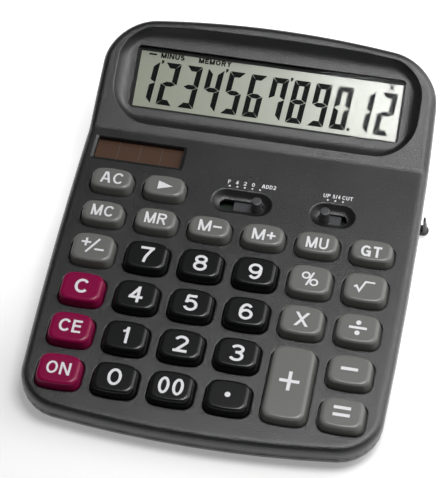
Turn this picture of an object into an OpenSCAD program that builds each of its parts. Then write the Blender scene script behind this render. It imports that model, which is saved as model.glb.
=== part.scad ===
// Desktop calculator with a tilted display head, 31 keys, two slide switches and a fold-out stand.
// Lengths are in millimetres. Most pieces are drawn in the panel's own frame: x to the right, y from the
// front edge to the rear along the key panel, z up from the panel's surface, so depths are negative z.

/* [Case] */
// Width of the case at its widest
body_w = 152.6; // [152:0.2:166]
// Length of the key panel from the front edge to the crease
panel_len = 147; // [146:0.5:160]
// Length of the display head from the crease to its rear edge
head_len = 55.4; // [55:0.2:66]
// Depth of the case at the front edge
front_depth = 12.6; // [12.4:0.2:16]
// Depth of the case at the crease and under the head
rear_depth = 18; // [17.6:0.2:24]
// Thickness of the case walls
wall = 2.2; // [1.8:0.1:2.4]
// Radius of the rounded top edges
edge_r = 3.4; // [2.4:0.2:4]
// Radius of the rounded edges of the underside
under_r = 5.4; // [3:0.2:6]
// Radius of the front corners seen from above
front_corner_r = 16; // [8:0.5:20]
// Radius of the head's rear corners
rear_corner_r = 21; // [16:0.5:26]
// How far the middle of the front edge stands out
front_bow = 6; // [0:0.5:6]
// How far the middle of the rear edge stands out
rear_bow = 6; // [0:0.5:6]
// How far the sides draw in towards the front
side_bow = 2; // [0:0.2:2.4]
// Distance from the front edge to the widest place
widest_at = 99; // [70:1:120]
// Depth of the seam between the top and bottom case
seam_depth = 7; // [6:0.2:8]
// Slope of the key panel on the desk with the stand out
panel_tilt = 6; // [5:0.5:9]
// Slope of the display head against the key panel
head_tilt = 25; // [15:1:30]

/* [Keys] */
// Width of a key at the panel's surface
key_w = 18.7; // [16:0.1:19]
// Depth of a full key, front to back
key_d = 15.1; // [13:0.1:16]
// Depth of a short key in the two rear rows
short_key_d = 11.8; // [10:0.1:12.6]
// Height of a key above the panel
key_h = 4.4; // [3:0.2:7]
// How much each side of a key leans in by its top
key_lean = 0.6; // [0.4:0.1:1.8]
// Radius of a key's corners seen from above
key_corner_r = 3; // [2:0.2:4]
// How far a key's front and back edges bow out
key_bow = 1; // [0:0.1:1.2]
// Gap between a key and its hole
key_gap = 0.4; // [0.3:0.05:0.5]
// Width of the retaining flange under the panel
flange_w = 0.9; // [0.7:0.1:1]
// Thickness of the retaining flange
flange_t = 1; // [0.8:0.1:1.2]
// Travel of a key
key_travel = 1.6; // [1:0.1:1.8]
// Distance from the case's widest side to the middle of an outer key column
side_margin = 18.05; // [17.5:0.05:20]
// Distance between the four front key rows, before the rows spread over the panel
pitch_y = 20.3; // [19:0.1:20.6]
// Distance from the front rows to the memory row
memory_pitch = 19; // [18:0.1:20]
// Distance from the memory row to the rear row
rear_pitch = 17.8; // [16:0.1:18.4]
// Distance from the front edge to the first row's middle
first_row = 19.4; // [19:0.1:21]

/* [Display] */
// Distance from the case's widest side to the display window's end
window_side = 15.8; // [15.4:0.1:20]
// Depth of the display window, front to back
window_d = 29; // [24:0.5:30]
// Distance of the window's middle in front of the head's middle
window_off = 1.7; // [0.8:0.1:2]
// Margin of the dished surround beside and in front of the window
scoop_margin = 7.6; // [6:0.2:7.8]
// Margin of the dished surround behind the window
scoop_rear = 9.8; // [7:0.2:10]
// Corner radius of the dished surround
scoop_r = 18; // [10:0.5:18.5]
// Depth of the dished surround
scoop_depth = 3.6; // [2.6:0.2:4]
// Thickness of the shelf behind the surround
shelf_t = 1.5; // [1.2:0.1:1.8]
// Thickness of the clear window
lens_t = 1.4; // [1:0.1:2]
// Margin of the window and frame behind the opening
lens_lap = 2.4; // [1.5:0.1:2.8]
// Margin between the window's end and the display's visible area
view_side = 1.2; // [1:0.1:6]
// Margin between the window's front and rear edges and the visible area
view_end = 1.5; // [1.2:0.1:4]
// Thickness of the display glass
glass_t = 2.4; // [1.6:0.1:3]
// Margin of the glass around the visible area
glass_lap = 2.2; // [1.5:0.1:2.4]

/* [Solar cell] */
// Width of the solar window
solar_w = 38.6; // [30:0.2:42]
// Depth of the solar window, front to back
solar_d = 11.4; // [8:0.2:11.6]
// Distance of the window's left end from the case's widest side
solar_inset = 6.4; // [6.2:0.2:9]
// Distance from the crease to the window's rear edge
solar_back = 5; // [4.6:0.2:6]
// Distance from the rear key row to the window
solar_gap = 7.6; // [6:0.1:9]
// Thickness of the solar cell
solar_t = 1.8; // [1.2:0.1:2.2]
// Margin of the cell behind the window
solar_lap = 1.6; // [1:0.1:1.6]

/* [Slide switches] */
// Travel of the decimal switch, over five places
decimal_travel = 13.3; // [8:0.1:14]
// Travel of the rounding switch, over three places
rounding_travel = 6.6; // [4:0.1:7]
// Middle of the decimal switch across the panel
decimal_x = -1.1; // [-2:0.1:0]
// Middle of the rounding switch across the panel
rounding_x = 38.6; // [38:0.1:40]
// Radius of a switch knob
knob_r = 2.4; // [1.8:0.1:2.8]
// Height of a switch knob above the panel
knob_h = 2.6; // [0:0.1:3]
// Clearance of a knob in its slot
knob_gap = 0.3; // [0.3:0.05:0.5]
// Margin of the dished recess around the slot
recess_margin = 3.4; // [2:0.1:3.8]
// Depth of the dished recess
recess_depth = 3; // [2:0.1:3.2]

/* [Board and mat] */
// Thickness of the circuit board
board_t = 1.2; // [0.8:0.1:1.6]
// Thickness of the rubber mat's sheet
mat_t = 0.8; // [0.5:0.1:1]
// Radius of a rubber dome at its foot
dome_r = 4; // [3:0.1:4.4]
// Radius of a rubber dome at its top
dome_top_r = 2.4; // [1.8:0.1:2.8]
// Length of a key's plunger below its flange
plunger_h = 0.8; // [0.4:0.1:1]

/* [Battery] */
// Diameter of the button cell
cell_dia = 11.6; // [9.5:0.1:12]
// Height of the button cell
cell_h = 3.05; // [2:0.05:3.2]
// Width of the battery cover
cover_w = 20; // [19:0.5:24]
// Length of the battery cover
cover_len = 26; // [22:0.5:30]
// Thickness of the battery cover
cover_t = 1.6; // [1.2:0.1:1.8]
// Place of the battery across the case
battery_x = 30; // [24:1:34]
// Place of the battery from the front edge
battery_y = 80; // [74:1:84]

/* [Stand and feet] */
// Reach of the stand's foot bar past the case's widest side
stand_out = 3.3; // [2.4:0.1:7.6]
// Radius of the stand's hinge barrel and foot bar
bar_r = 2.4; // [2:0.1:2.6]
// Thickness of the stand's plate
stand_t = 2.4; // [1.8:0.1:3]
// Lean of the stand behind upright, against the panel
stand_lean = 25; // [15:1:30]
// Reach of the stand's ears behind its plate, beside the case
ear_reach = 3.4; // [2.4:0.1:3.6]
// Radius of the hinge pins
pin_r = 1.25; // [1:0.05:1.4]
// Running clearance of a hinge pin in its lug
pin_gap = 0.06; // [0.03:0.01:0.1]
// Thickness of the rubber sleeves on the foot bar
sleeve_t = 0.8; // [0.5:0.1:1]
// Radius of a rubber foot
foot_r = 5; // [4:0.2:5.4]
// Height of a front foot below the underside
foot_h = 1.6; // [1.2:0.1:2.4]

/* [Screws] */
// Radius of a case screw's shank
screw_r = 1.3; // [1:0.05:1.5]
// Radius of a case screw's head
screw_head_r = 2.4; // [2:0.1:2.7]
// Radius of a board screw's shank
board_screw_r = 0.95; // [0.8:0.05:1.1]
// Radius of a board screw's head
board_head_r = 1.8; // [1.5:0.1:2]

/* [Hidden] */
$fn = 48;
// Clearance of pieces that are seated in each other
fit = 0.1;
// Length by which a cut runs past the face that it opens
over = 1;
// Two lengths closer than this are the same
tiny = 0.001;

half_w = body_w / 2;
total_len = panel_len + head_len;
mitre = tan(head_tilt / 2);
edge_steps = 4;
corner_steps = 6;
head_steps = 3;
crease_index = 2 * edge_steps + corner_steps;
round_steps = 4;

// Depth of the underside at a distance from the front edge
function depth_at(s) =
    s < panel_len
        ? front_depth + (rear_depth - front_depth) * s / (panel_len + rear_depth * mitre)
        : rear_depth;
under_slope = atan((rear_depth - front_depth) / (panel_len + rear_depth * mitre));

// The underside meets the desk at the front feet and at the stand's sleeves
front_foot_y = 13;
foot_contact = depth_at(front_foot_y) + foot_h;
desk_z = foot_contact * cos(panel_tilt) - front_foot_y * sin(panel_tilt);
front_reach = edge_r * (cos(panel_tilt) + sin(panel_tilt) - 1);
under_round = min(under_r, front_depth - seam_depth - fit);
rear_reach = panel_len * cos(panel_tilt) + (head_len - under_round) * cos(panel_tilt + head_tilt)
    + (rear_depth - under_round) * sin(panel_tilt + head_tilt) + under_round;
desk_y = -(front_reach + rear_reach) / 2;

// Columns fill the width between the side margins, and rows the length up to the solar window
column_count = 6;
pitch_x = (body_w - 2 * side_margin) / (column_count - 1);
rows_len = panel_len - solar_back - solar_d - solar_gap - short_key_d / 2 - first_row;
row_fit = rows_len / (3 * pitch_y + memory_pitch + rear_pitch);
row_step = pitch_y * row_fit;
row4_y = first_row + 3 * row_step;
ROW_Y = [
    first_row,
    first_row + row_step,
    first_row + 2 * row_step,
    row4_y,
    row4_y + memory_pitch * row_fit,
    row4_y + (memory_pitch + rear_pitch) * row_fit
];
// Keys: name, column from the left, row from the front, depth and colour
grey = [0.4, 0.41, 0.4];
magenta = [0.46, 0.06, 0.2];
black = [0.07, 0.075, 0.08];
tall_key_d = key_d + row_step;
function key_x(column) = (column - (column_count - 1) / 2) * pitch_x;
KEYS = [
    ["key_ac", 0, 5, short_key_d, grey],
    ["key_arrow", 1, 5, short_key_d, grey],
    ["key_mc", 0, 4, short_key_d, grey],
    ["key_mr", 1, 4, short_key_d, grey],
    ["key_m_minus", 2, 4, short_key_d, grey],
    ["key_m_plus", 3, 4, short_key_d, grey],
    ["key_mu", 4, 4, short_key_d, grey],
    ["key_gt", 5, 4, short_key_d, grey],
    ["key_sign", 0, 3, key_d, grey],
    ["key_7", 1, 3, key_d, black],
    ["key_8", 2, 3, key_d, black],
    ["key_9", 3, 3, key_d, black],
    ["key_percent", 4, 3, key_d, grey],
    ["key_root", 5, 3, key_d, grey],
    ["key_c", 0, 2, key_d, magenta],
    ["key_4", 1, 2, key_d, black],
    ["key_5", 2, 2, key_d, black],
    ["key_6", 3, 2, key_d, black],
    ["key_times", 4, 2, key_d, grey],
    ["key_divide", 5, 2, key_d, grey],
    ["key_ce", 0, 1, key_d, magenta],
    ["key_1", 1, 1, key_d, black],
    ["key_2", 2, 1, key_d, black],
    ["key_3", 3, 1, key_d, black],
    ["key_plus", 4, 0.5, tall_key_d, grey],
    ["key_minus", 5, 1, key_d, grey],
    ["key_on", 0, 0, key_d, magenta],
    ["key_0", 1, 0, key_d, black],
    ["key_00", 2, 0, key_d, black],
    ["key_dot", 3, 0, key_d, black],
    ["key_equals", 5, 0, key_d, grey]
];
function key_y(row) = row == floor(row) ? ROW_Y[row] : (ROW_Y[floor(row)] + ROW_Y[ceil(row)]) / 2;

// Places the panel's frame on the desk, and the head's frame on the panel's
module in_panel() {
    translate([0, desk_y, desk_z]) rotate([panel_tilt, 0, 0]) children();
}
module on_head() {
    translate([0, panel_len, 0]) rotate([head_tilt, 0, 0]) children();
}
// Repeats a piece on the left and the right
module both_sides() {
    children();
    mirror([1, 0, 0]) children();
}

// Outline of the case in panel and head lengths, drawn in by e: front middle, right side, rear middle,
// left side
function arc(cx, cy, r, from, to, n) = [
    for (i = [0:n]) let (a = from + (to - from) * i / n) [cx + r * cos(a), cy + r * sin(a)]
];
function plain_side(e) =
    let (w = half_w - e, rf = front_corner_r - e, rr = rear_corner_r - e)
    concat(
        [for (i = [0:edge_steps - 1]) [(w - rf) * i / edge_steps, e]],
        arc(w - rf, e + rf, rf, -90, 0, corner_steps),
        [for (i = [1:edge_steps]) [w, e + rf + (panel_len - e - rf) * i / edge_steps]],
        [for (i = [1:head_steps - 1]) [w, panel_len + (head_len - e - rr) * i / head_steps]],
        arc(w - rr, total_len - e - rr, rr, 0, 90, corner_steps),
        [for (i = [edge_steps - 1:-1:0]) [(w - rr) * i / edge_steps, total_len - e]]
    );
// The bow of the front, rear and side edges fades out at the crease
function bowed(p) =
    let (q = p.x / half_w, s = p.y, d = (s - widest_at) / widest_at)
    [
        p.x * (1 - side_bow / half_w * d * d),
        s < panel_len
            ? s + front_bow * q * q * (1 - s / panel_len)
            : s - rear_bow * q * q * (s - panel_len) / head_len
    ];
function outline(e) =
    let (side = [for (p = plain_side(e)) bowed(p)], last = len(side) - 1)
    concat(side, [for (i = [last - 1:-1:1]) [-side[i].x, side[i].y]]);
// A point at a length s and a depth d below the bent top surface
function bent(p, d) =
    abs(p.y - panel_len) < tiny
        ? [p.x, panel_len + d * mitre, -d]
        : p.y < panel_len
            ? [p.x, p.y, -d]
            : [
                p.x,
                panel_len + (p.y - panel_len) * cos(head_tilt) + d * sin(head_tilt),
                (p.y - panel_len) * sin(head_tilt) - d * cos(head_tilt)
            ];
// A bent slab through rings, each [inset, depth, measured from the underside or not], from the top down
module bent_slab(rings) {
    loops = [
        for (r = rings) [
            for (p = outline(r[0])) bent(p, r[2] ? depth_at(p.y) - r[1] : r[1])
        ]
    ];
    n = len(loops[0]);
    last = (len(loops) - 1) * n;
    front = [for (i = [n - crease_index:n + crease_index]) i % n];
    rear = [for (i = [crease_index:n - crease_index]) i];
    polyhedron(
        points = [for (l = loops) each l],
        faces = concat(
            [[for (i = [len(front) - 1:-1:0]) front[i]]],
            [[for (i = [len(rear) - 1:-1:0]) rear[i]]],
            [for (k = [0:len(loops) - 2]) for (i = [0:n - 1]) let (j = (i + 1) % n, a = k * n)
                [a + i, a + j, a + n + j, a + n + i]],
            [[for (i = front) last + i]],
            [[for (i = rear) last + i]]
        )
    );
}
top_round = [for (i = [0:round_steps]) let (a = 90 * i / round_steps)
    [edge_r * (1 - sin(a)), edge_r * (1 - cos(a)), false]];
module top_shape() bent_slab(concat(top_round, [[0, seam_depth, false]]));
// The underside from a depth down, drawn in by e all round
module under_shape(e, from) {
    r = under_round - e;
    bent_slab(concat(
        [[e, from, false]],
        [
            for (i = [0:round_steps]) let (a = 90 * i / round_steps)
                [e + r * (1 - cos(a)), e + r * (1 - sin(a)), true]
        ]
    ));
}

// Rounded rectangle with bowed front and back edges, from arcs
soft_steps = 3;
function soft_rect(w, d, r, bow) =
    let (reach = w / 2 - r, y = d / 2 - bow)
    [
        for (side = [1, -1], p = concat(
            arc(side * reach, side * (y - r), r, 90 - 90 * side, 180 - 90 * side, soft_steps),
            [for (i = [1:soft_steps - 1]) [side * reach * (1 - 2 * i / soft_steps), side * y]],
            arc(-side * reach, side * (y - r), r, 180 - 90 * side, 270 - 90 * side, soft_steps)
        ))
        let (q = 2 * p.x / w) [p.x, p.y + side * bow * (1 - q * q)]
    ];
function at_z(points, z) = [for (p = points) [p.x, p.y, z]];
// Solid through rings of as many points each, from the bottom up
module ring_solid(rings) {
    n = len(rings[0]);
    last = (len(rings) - 1) * n;
    polyhedron(
        points = [for (r = rings) each r],
        faces = concat(
            [[for (i = [0:n - 1]) i]],
            [for (k = [0:len(rings) - 2]) for (i = [0:n - 1]) let (j = (i + 1) % n, a = k * n)
                [a + i, a + n + i, a + n + j, a + j]],
            [[for (i = [n - 1:-1:0]) last + i]]
        )
    );
}
module slot_shape(length, r) {
    both_sides() translate([length / 2 - r, 0]) circle(r);
    square([length - 2 * r, 2 * r], center = true);
}
// Extrudes a flat shape between two depths
module deep(from, to) {
    translate([0, 0, -to]) linear_extrude(to - from) children();
}
module block(w, d, from, to) {
    deep(from, to) square([w, d], center = true);
}
module rod(r, from, to) {
    translate([0, 0, -to]) cylinder(r = r, h = to - from);
}

// Keys: retaining flange under the panel, leaning walls and a rounded top edge
flange_depth = wall + 2 * fit;
flange_foot = flange_depth + flange_t;
plunger_foot = flange_foot + plunger_h;
dome_top = plunger_foot + 2 * fit;
dome_rest = 0.8;
board_depth = dome_top + key_travel + dome_rest + mat_t;
key_edge = 0.9;
module key_ring_solid(d) {
    lean_d = d - 2 * key_lean;
    lean_w = key_w - 2 * key_lean;
    flange = soft_rect(key_w + 2 * flange_w, d + 2 * flange_w, key_corner_r + flange_w, key_bow);
    foot = soft_rect(key_w, d, key_corner_r, key_bow);
    shoulder = soft_rect(lean_w, lean_d, key_corner_r, key_bow);
    top = soft_rect(lean_w - 2 * key_edge, lean_d - 2 * key_edge, key_corner_r - key_edge / 2, key_bow);
    ring_solid([
        at_z(flange, -flange_foot),
        at_z(flange, -flange_depth),
        at_z(foot, -flange_depth),
        at_z(foot, 0),
        at_z(shoulder, key_h - key_edge),
        at_z(top, key_h)
    ]);
}
// A tall key has two plungers
function plunger_places(d) = d > key_d ? [-row_step / 2, row_step / 2] : [0];
module key_cap(k) {
    color(k[4]) in_panel() translate([key_x(k[1]), key_y(k[2]), 0]) {
        key_ring_solid(k[3]);
        for (y = plunger_places(k[3])) translate([0, y, 0]) rod(dome_top_r, flange_depth, plunger_foot);
    }
}

// Display's places and sizes, then its stack as depths below the head's surface
window_at = head_len / 2 - window_off;
window_w = body_w - 2 * window_side;
view_w = window_w - 2 * view_side;
view_d = window_d - 2 * view_end;
lens_front = scoop_depth + shelf_t;
frame_front = lens_front + lens_t;
frame_lip = 0.8;
glass_front = frame_front + frame_lip;
glass_back = glass_front + glass_t;
foil_t = 0.3;
window_r = 2;
lens_w = window_w + 2 * lens_lap;
lens_d = window_d + 2 * lens_lap;
glass_w = view_w + 2 * glass_lap;
glass_d = view_d + 2 * glass_lap;
module on_window() {
    on_head() translate([0, window_at, 0]) children();
}
// Dished surround: its bow at the rear, and the shares of margin and depth where its wall turns
scoop_bow = 2;
turn_margin_share = 0.6;
turn_depth_share = 0.72;
// A loop at a margin m: its rear half is moved back and bows, its front half is straight
function scoop_ring(m, z) =
    let (
        share = m / scoop_margin,
        half = window_w / 2 + m,
        back = scoop_rear * share,
        d = window_d + m + back,
        r = window_r + (scoop_r - window_r) * share
    )
    [
        for (p = soft_rect(2 * half, d, r, 0))
            let (q = p.x / half, bow = 2 * scoop_bow * share * q * q * max(p.y, 0) / d)
            [p.x, p.y + (back - m) / 2 - bow, z]
    ];
module scoop_cut() {
    ring_solid([
        scoop_ring(0, -scoop_depth),
        scoop_ring(scoop_margin * turn_margin_share, -scoop_depth * turn_depth_share),
        scoop_ring(scoop_margin, 0),
        scoop_ring(scoop_margin, over)
    ]);
}
module scoop_shelf() {
    edge = scoop_margin + shelf_t;
    ring_solid([scoop_ring(edge, -lens_front), scoop_ring(edge, -wall / 2)]);
}

// Solar cell and slide switches
solar_x = -half_w + solar_inset + solar_w / 2;
solar_y = panel_len - solar_back - solar_d / 2;
switch_y = key_y(5);
slot_r = knob_r + knob_gap;
slot_end = 0.4;
recess_floor = 1.2;
carriage_depth = recess_depth + recess_floor + fit;
carriage_t = 1.4;
// Middle, travel and rest side (right or left) of each switch, and its carriage's length
decimal_carriage = 20.8;
rounding_carriage = 14;
DECIMAL = [decimal_x, decimal_travel, 1, decimal_carriage];
ROUNDING = [rounding_x, rounding_travel, -1, rounding_carriage];
SWITCHES = [DECIMAL, ROUNDING];
function slot_len(s) = s[1] + 2 * (slot_r + slot_end);
function knob_x(s) = s[0] + s[2] * s[1] / 2;
module at_switches() {
    for (s = SWITCHES) translate([s[0], switch_y, 0]) {
        $switch = s;
        children();
    }
}
module recess_cut() {
    full = slot_len($switch) + 2 * recess_margin;
    dish_n = 5;
    for (i = [0:dish_n - 1]) {
        a = 90 * i / dish_n;
        m = recess_margin * (1 - i / dish_n);
        deep(-over, recess_depth * sin(a + 90 / dish_n))
            slot_shape(full - 2 * (recess_margin - m), slot_r + m);
    }
}

// Places of the screws, x and y on the panel and x and distance from the crease on the head
boss_r = 3;
front_screw_in = 46.3;
front_screw_x = half_w - front_screw_in;
front_screw_y = 7.4;
mid_screw_in = 16.3;
mid_screw_x = half_w - mid_screw_in;
mid_screw_y = panel_len - solar_back - solar_d / 2;
PANEL_SCREWS = [
    [-front_screw_x, front_screw_y],
    [front_screw_x, front_screw_y],
    [solar_x + solar_w / 2 + solar_lap + boss_r + over, mid_screw_y],
    [mid_screw_x, mid_screw_y]
];
head_screw_side = 31.3;
head_screw_x = half_w - head_screw_side;
head_screw_in = 3.4;
head_screw_t = window_at + window_d / 2 + scoop_rear - head_screw_in;
post_depth = board_depth + board_t + 2 * fit;
head_post_depth = glass_back + shelf_t;
head_sink = 2.4;
screw_head_h = 1.6;
BOARD_SCREWS = [
    for (x = [-2 * pitch_x, 0, 2 * pitch_x], r = [1.5, 3.5]) [x, key_y(r)]
];
board_boss_r = 2.2;
board_head_h = 1.2;
module at_panel_screws() {
    for (p = PANEL_SCREWS) translate([p.x, p.y, 0]) {
        $deep = depth_at(p.y);
        children();
    }
}
module at_head_screws() {
    on_head() both_sides() translate([head_screw_x, head_screw_t, 0]) {
        $deep = rear_depth;
        children();
    }
}

// Board's edges
board_front = front_screw_y + boss_r + 4 * fit;
board_margin = 3;
board_rear = switch_y + slot_r + recess_margin + board_margin;
board_half = key_x(5) + dome_r + 2 * board_margin;
board_corner = 9;

module top_case() {
    color([0.27, 0.275, 0.285]) in_panel() difference() {
        union() {
            difference() {
                top_shape();
                bent_slab([[wall, wall, false], [wall, seam_depth + over, false]]);
            }
            on_window() scoop_shelf();
            at_switches() deep(wall / 2, recess_depth + recess_floor)
                slot_shape(slot_len($switch) + 2 * recess_margin + wall, slot_r + recess_margin + wall / 2);
            at_panel_screws() rod(boss_r, wall / 2, post_depth - fit);
            at_head_screws() rod(boss_r, lens_front / 2, head_post_depth - fit);
            for (p = BOARD_SCREWS) translate([p.x, p.y, 0]) rod(board_boss_r, wall / 2, board_depth);
        }
        for (k = KEYS) translate([key_x(k[1]), key_y(k[2]), 0]) deep(-over, wall + over)
            polygon(soft_rect(key_w + 2 * key_gap, k[3] + 2 * key_gap, key_corner_r + key_gap, key_bow));
        at_switches() {
            recess_cut();
            deep(-over, recess_depth + recess_floor + over) slot_shape(slot_len($switch), slot_r);
        }
        translate([solar_x, solar_y, 0]) block(solar_w, solar_d, -over, wall + over);
        on_window() {
            scoop_cut();
            deep(0, lens_front + over) polygon(soft_rect(window_w, window_d, window_r, 0));
        }
        at_panel_screws() rod(screw_r + fit / 2, wall + over, post_depth);
        at_head_screws() rod(screw_r + fit / 2, lens_front + over, head_post_depth);
        for (p = BOARD_SCREWS) translate([p.x, p.y, 0])
            rod(board_screw_r + fit / 2, wall + over, board_depth + over);
    }
}

module display_window() {
    color([0.8, 0.85, 0.82, 0.4]) in_panel() on_window()
        deep(lens_front, frame_front) polygon(soft_rect(lens_w, lens_d, window_r, 0));
}
module lcd_frame() {
    color([0.05, 0.05, 0.05]) in_panel() on_window() difference() {
        deep(frame_front, glass_back - fit) polygon(soft_rect(lens_w, lens_d, window_r, 0));
        block(view_w, view_d, frame_front - over, glass_back);
        block(glass_w + 2 * fit, glass_d + 2 * fit, glass_front, glass_back);
    }
}
module lcd_panel() {
    color([0.66, 0.69, 0.6]) in_panel() on_window() block(glass_w, glass_d, glass_front, glass_back);
}
// Bonding strip for the ribbon along the glass's front edge
bond_w = 3;
module lcd_reflector() {
    color([0.75, 0.76, 0.74]) in_panel() on_window() translate([0, bond_w / 2 + fit, 0])
        block(glass_w, glass_d - bond_w - 2 * fit, glass_back, glass_back + foil_t);
}
ribbon_w = 48;
ribbon_x = 12;
ribbon_t = 0.3;
ribbon_lap = 3.4;
// Ribbon in side view: along the board, up to the display and along the glass
function head_point(t, d) = [
    panel_len + t * cos(head_tilt) + d * sin(head_tilt),
    t * sin(head_tilt) - d * cos(head_tilt)
];
ribbon_start = head_point(window_at - glass_d / 2 + bond_w, glass_back);
ribbon_edge = head_point(window_at - lens_d / 2 - over, glass_back);
RIBBON = [
    [board_rear - ribbon_lap, -board_depth],
    [board_rear + over, -board_depth],
    ribbon_edge,
    ribbon_start
];
ribbon_drop = [ribbon_t * sin(head_tilt), -ribbon_t * cos(head_tilt)];
module lcd_ribbon() {
    color([0.7, 0.45, 0.15]) in_panel() translate([ribbon_x - ribbon_w / 2, 0, 0]) rotate([90, 0, 90])
        linear_extrude(ribbon_w) polygon([
            RIBBON[0],
            RIBBON[1],
            RIBBON[2] + ribbon_drop,
            RIBBON[3] + ribbon_drop,
            RIBBON[3],
            RIBBON[2],
            RIBBON[1] + [0, ribbon_t],
            RIBBON[0] + [0, ribbon_t]
        ]);
}

module solar_cell() {
    color([0.22, 0.15, 0.11]) in_panel() translate([solar_x, solar_y, 0])
        block(solar_w + 2 * solar_lap, solar_d + 2 * solar_lap, wall, wall + solar_t);
}
lead_r = 0.45;
lead_gap = 6;
lead_from = [solar_y - solar_d / 2, -(wall + solar_t + lead_r)];
lead_to = [board_rear - 2 * over, -(board_depth - lead_r)];
lead_run = lead_to - lead_from;
module solar_leads() {
    color([0.6, 0.1, 0.08]) in_panel() for (x = [-lead_gap, lead_gap])
        translate([solar_x + x, lead_from.x, lead_from.y])
            rotate([atan2(lead_run.x, -lead_run.y) + 180, 0, 0]) cylinder(r = lead_r, h = norm(lead_run));
}

// Board and rubber mat
mat_lap = 4;
mat_rear = key_y(4) + dome_r + mat_lap;
mat_step = key_x(1) + dome_r + mat_lap;
mat_edge = 2;
dome_skin = 0.7;
module main_board() {
    board_len = board_rear - board_front;
    color([0.1, 0.3, 0.16]) in_panel() difference() {
        translate([0, board_front + board_len / 2, 0]) deep(board_depth, board_depth + board_t)
            polygon(soft_rect(2 * board_half, board_len, board_corner, 0));
        for (p = BOARD_SCREWS) translate([p.x, p.y, 0])
            rod(board_screw_r + fit, board_depth - over, board_depth + board_t + over);
    }
}
module at_domes() {
    for (k = KEYS, y = plunger_places(k[3])) translate([key_x(k[1]), key_y(k[2]) + y, 0]) children();
}
module key_mat() {
    sheet = board_depth - mat_t;
    low = board_front + mat_edge;
    wide = board_half - mat_edge;
    color([0.55, 0.56, 0.56]) in_panel() difference() {
        union() {
            deep(sheet, board_depth) polygon([
                [-wide + board_corner, low],
                [wide - board_corner, low],
                [wide, low + board_corner],
                [wide, mat_rear],
                [mat_step, mat_rear],
                [mat_step, board_rear - mat_edge - ribbon_lap],
                [-wide, board_rear - mat_edge - ribbon_lap],
                [-wide, low + board_corner]
            ]);
            at_domes() translate([0, 0, -sheet - mat_t / 2])
                cylinder(r1 = dome_r, r2 = dome_top_r, h = sheet + mat_t / 2 - dome_top);
        }
        at_domes() translate([0, 0, -board_depth - over]) cylinder(
            r1 = dome_r - dome_skin,
            r2 = dome_top_r - dome_skin,
            h = board_depth + over - dome_top - dome_skin
        );
        for (p = BOARD_SCREWS) translate([p.x, p.y, 0])
            rod(board_boss_r + 2 * fit, sheet - over, board_depth + over);
    }
}
chip_r = 6;
chip_h = 1.4;
chip_place = [-pitch_x, key_y(2.5)];
chip_steps = 4;
module chip_cover() {
    ball = (chip_r * chip_r + chip_h * chip_h) / (2 * chip_h);
    sweep = asin(chip_r / ball);
    color([0.03, 0.03, 0.03]) in_panel() translate([chip_place.x, chip_place.y, -board_depth - board_t])
        rotate_extrude()
            polygon(concat([[0, 0]], arc(0, ball - chip_h, ball, -90, sweep - 90, chip_steps)));
}
can_r = 1.5;
can_len = 7;
module capacitor() {
    color([0.1, 0.12, 0.3]) in_panel()
        translate([-can_len / 2, key_y(2.5), -board_depth - board_t - can_r]) rotate([0, 90, 0])
            cylinder(r = can_r, h = can_len);
}

module slider(s) {
    color([0.16, 0.165, 0.17]) in_panel() translate([knob_x(s), switch_y, 0]) {
        rod(knob_r, -knob_h, carriage_depth + carriage_t / 2);
        block(s[3], 2 * (slot_r + recess_margin), carriage_depth, carriage_depth + carriage_t);
    }
}
contact_t = 0.3;
contact_w = 6;
tip_r = 0.8;
module slider_contact(s) {
    top = carriage_depth + carriage_t;
    color([0.75, 0.6, 0.25]) in_panel() translate([knob_x(s), switch_y, 0]) {
        block(s[3] - 2 * over, contact_w, top, top + contact_t);
        both_sides() translate([s[3] / 2 - 2 * over, 0, 0]) rod(tip_r, top, board_depth - fit);
    }
}
module decimal_slider() slider(DECIMAL);
module decimal_contact() slider_contact(DECIMAL);
module rounding_slider() slider(ROUNDING);
module rounding_contact() slider_contact(ROUNDING);

// Battery bay in the underside
cell_r = cell_dia / 2;
bay_lip = 2;
bay_floor = 2;
bay_t = cover_t + bay_floor;
cup_t = 1.2;
cup_gap = 0.25;
cup_share = 0.75;
cup_top = cover_t + cup_share * cell_h;
cell_top = depth_at(battery_y) - cover_t - 2 * fit - cell_h;
module on_under(x, y) {
    translate([x, y, -depth_at(y)]) rotate([-under_slope, 0, 0]) children();
}
module on_battery() {
    on_under(battery_x, battery_y) children();
}
cover_r = 3;
module battery_cover() {
    color([0.24, 0.245, 0.25]) in_panel() on_battery()
        linear_extrude(cover_t) polygon(soft_rect(cover_w, cover_len, cover_r, 0));
}
module button_cell() {
    color([0.75, 0.75, 0.76]) in_panel() on_battery()
        translate([0, 0, cover_t + fit]) cylinder(r = cell_r, h = cell_h);
}
spring_t = 0.3;
spring_w = 4;
module battery_contact_minus() {
    foot = -board_depth - board_t;
    tip = -cell_top + 2 * fit;
    color([0.8, 0.78, 0.7]) in_panel() translate([battery_x - spring_w / 2, battery_y, 0]) rotate([90, 0, 90])
        linear_extrude(spring_w) polygon([
            [-cell_r, foot],
            [-cell_r, foot - spring_t],
            [-cell_r / 2, foot - spring_t],
            [0, tip],
            [cell_r / 3, tip],
            [cell_r / 3, tip + spring_t],
            [spring_t, tip + spring_t],
            [-cell_r / 2 + spring_t, foot]
        ]);
}
module battery_contact_plus() {
    foot = board_depth + board_t;
    color([0.8, 0.78, 0.7]) in_panel() translate([battery_x + cell_r + 2 * fit, battery_y, 0]) {
        translate([spring_t / 2, 0, 0]) block(spring_t, spring_w, foot, cell_top + cell_h / 2);
        translate([spring_w / 2, 0, 0]) block(spring_w, spring_w, foot, foot + spring_t);
    }
}

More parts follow.
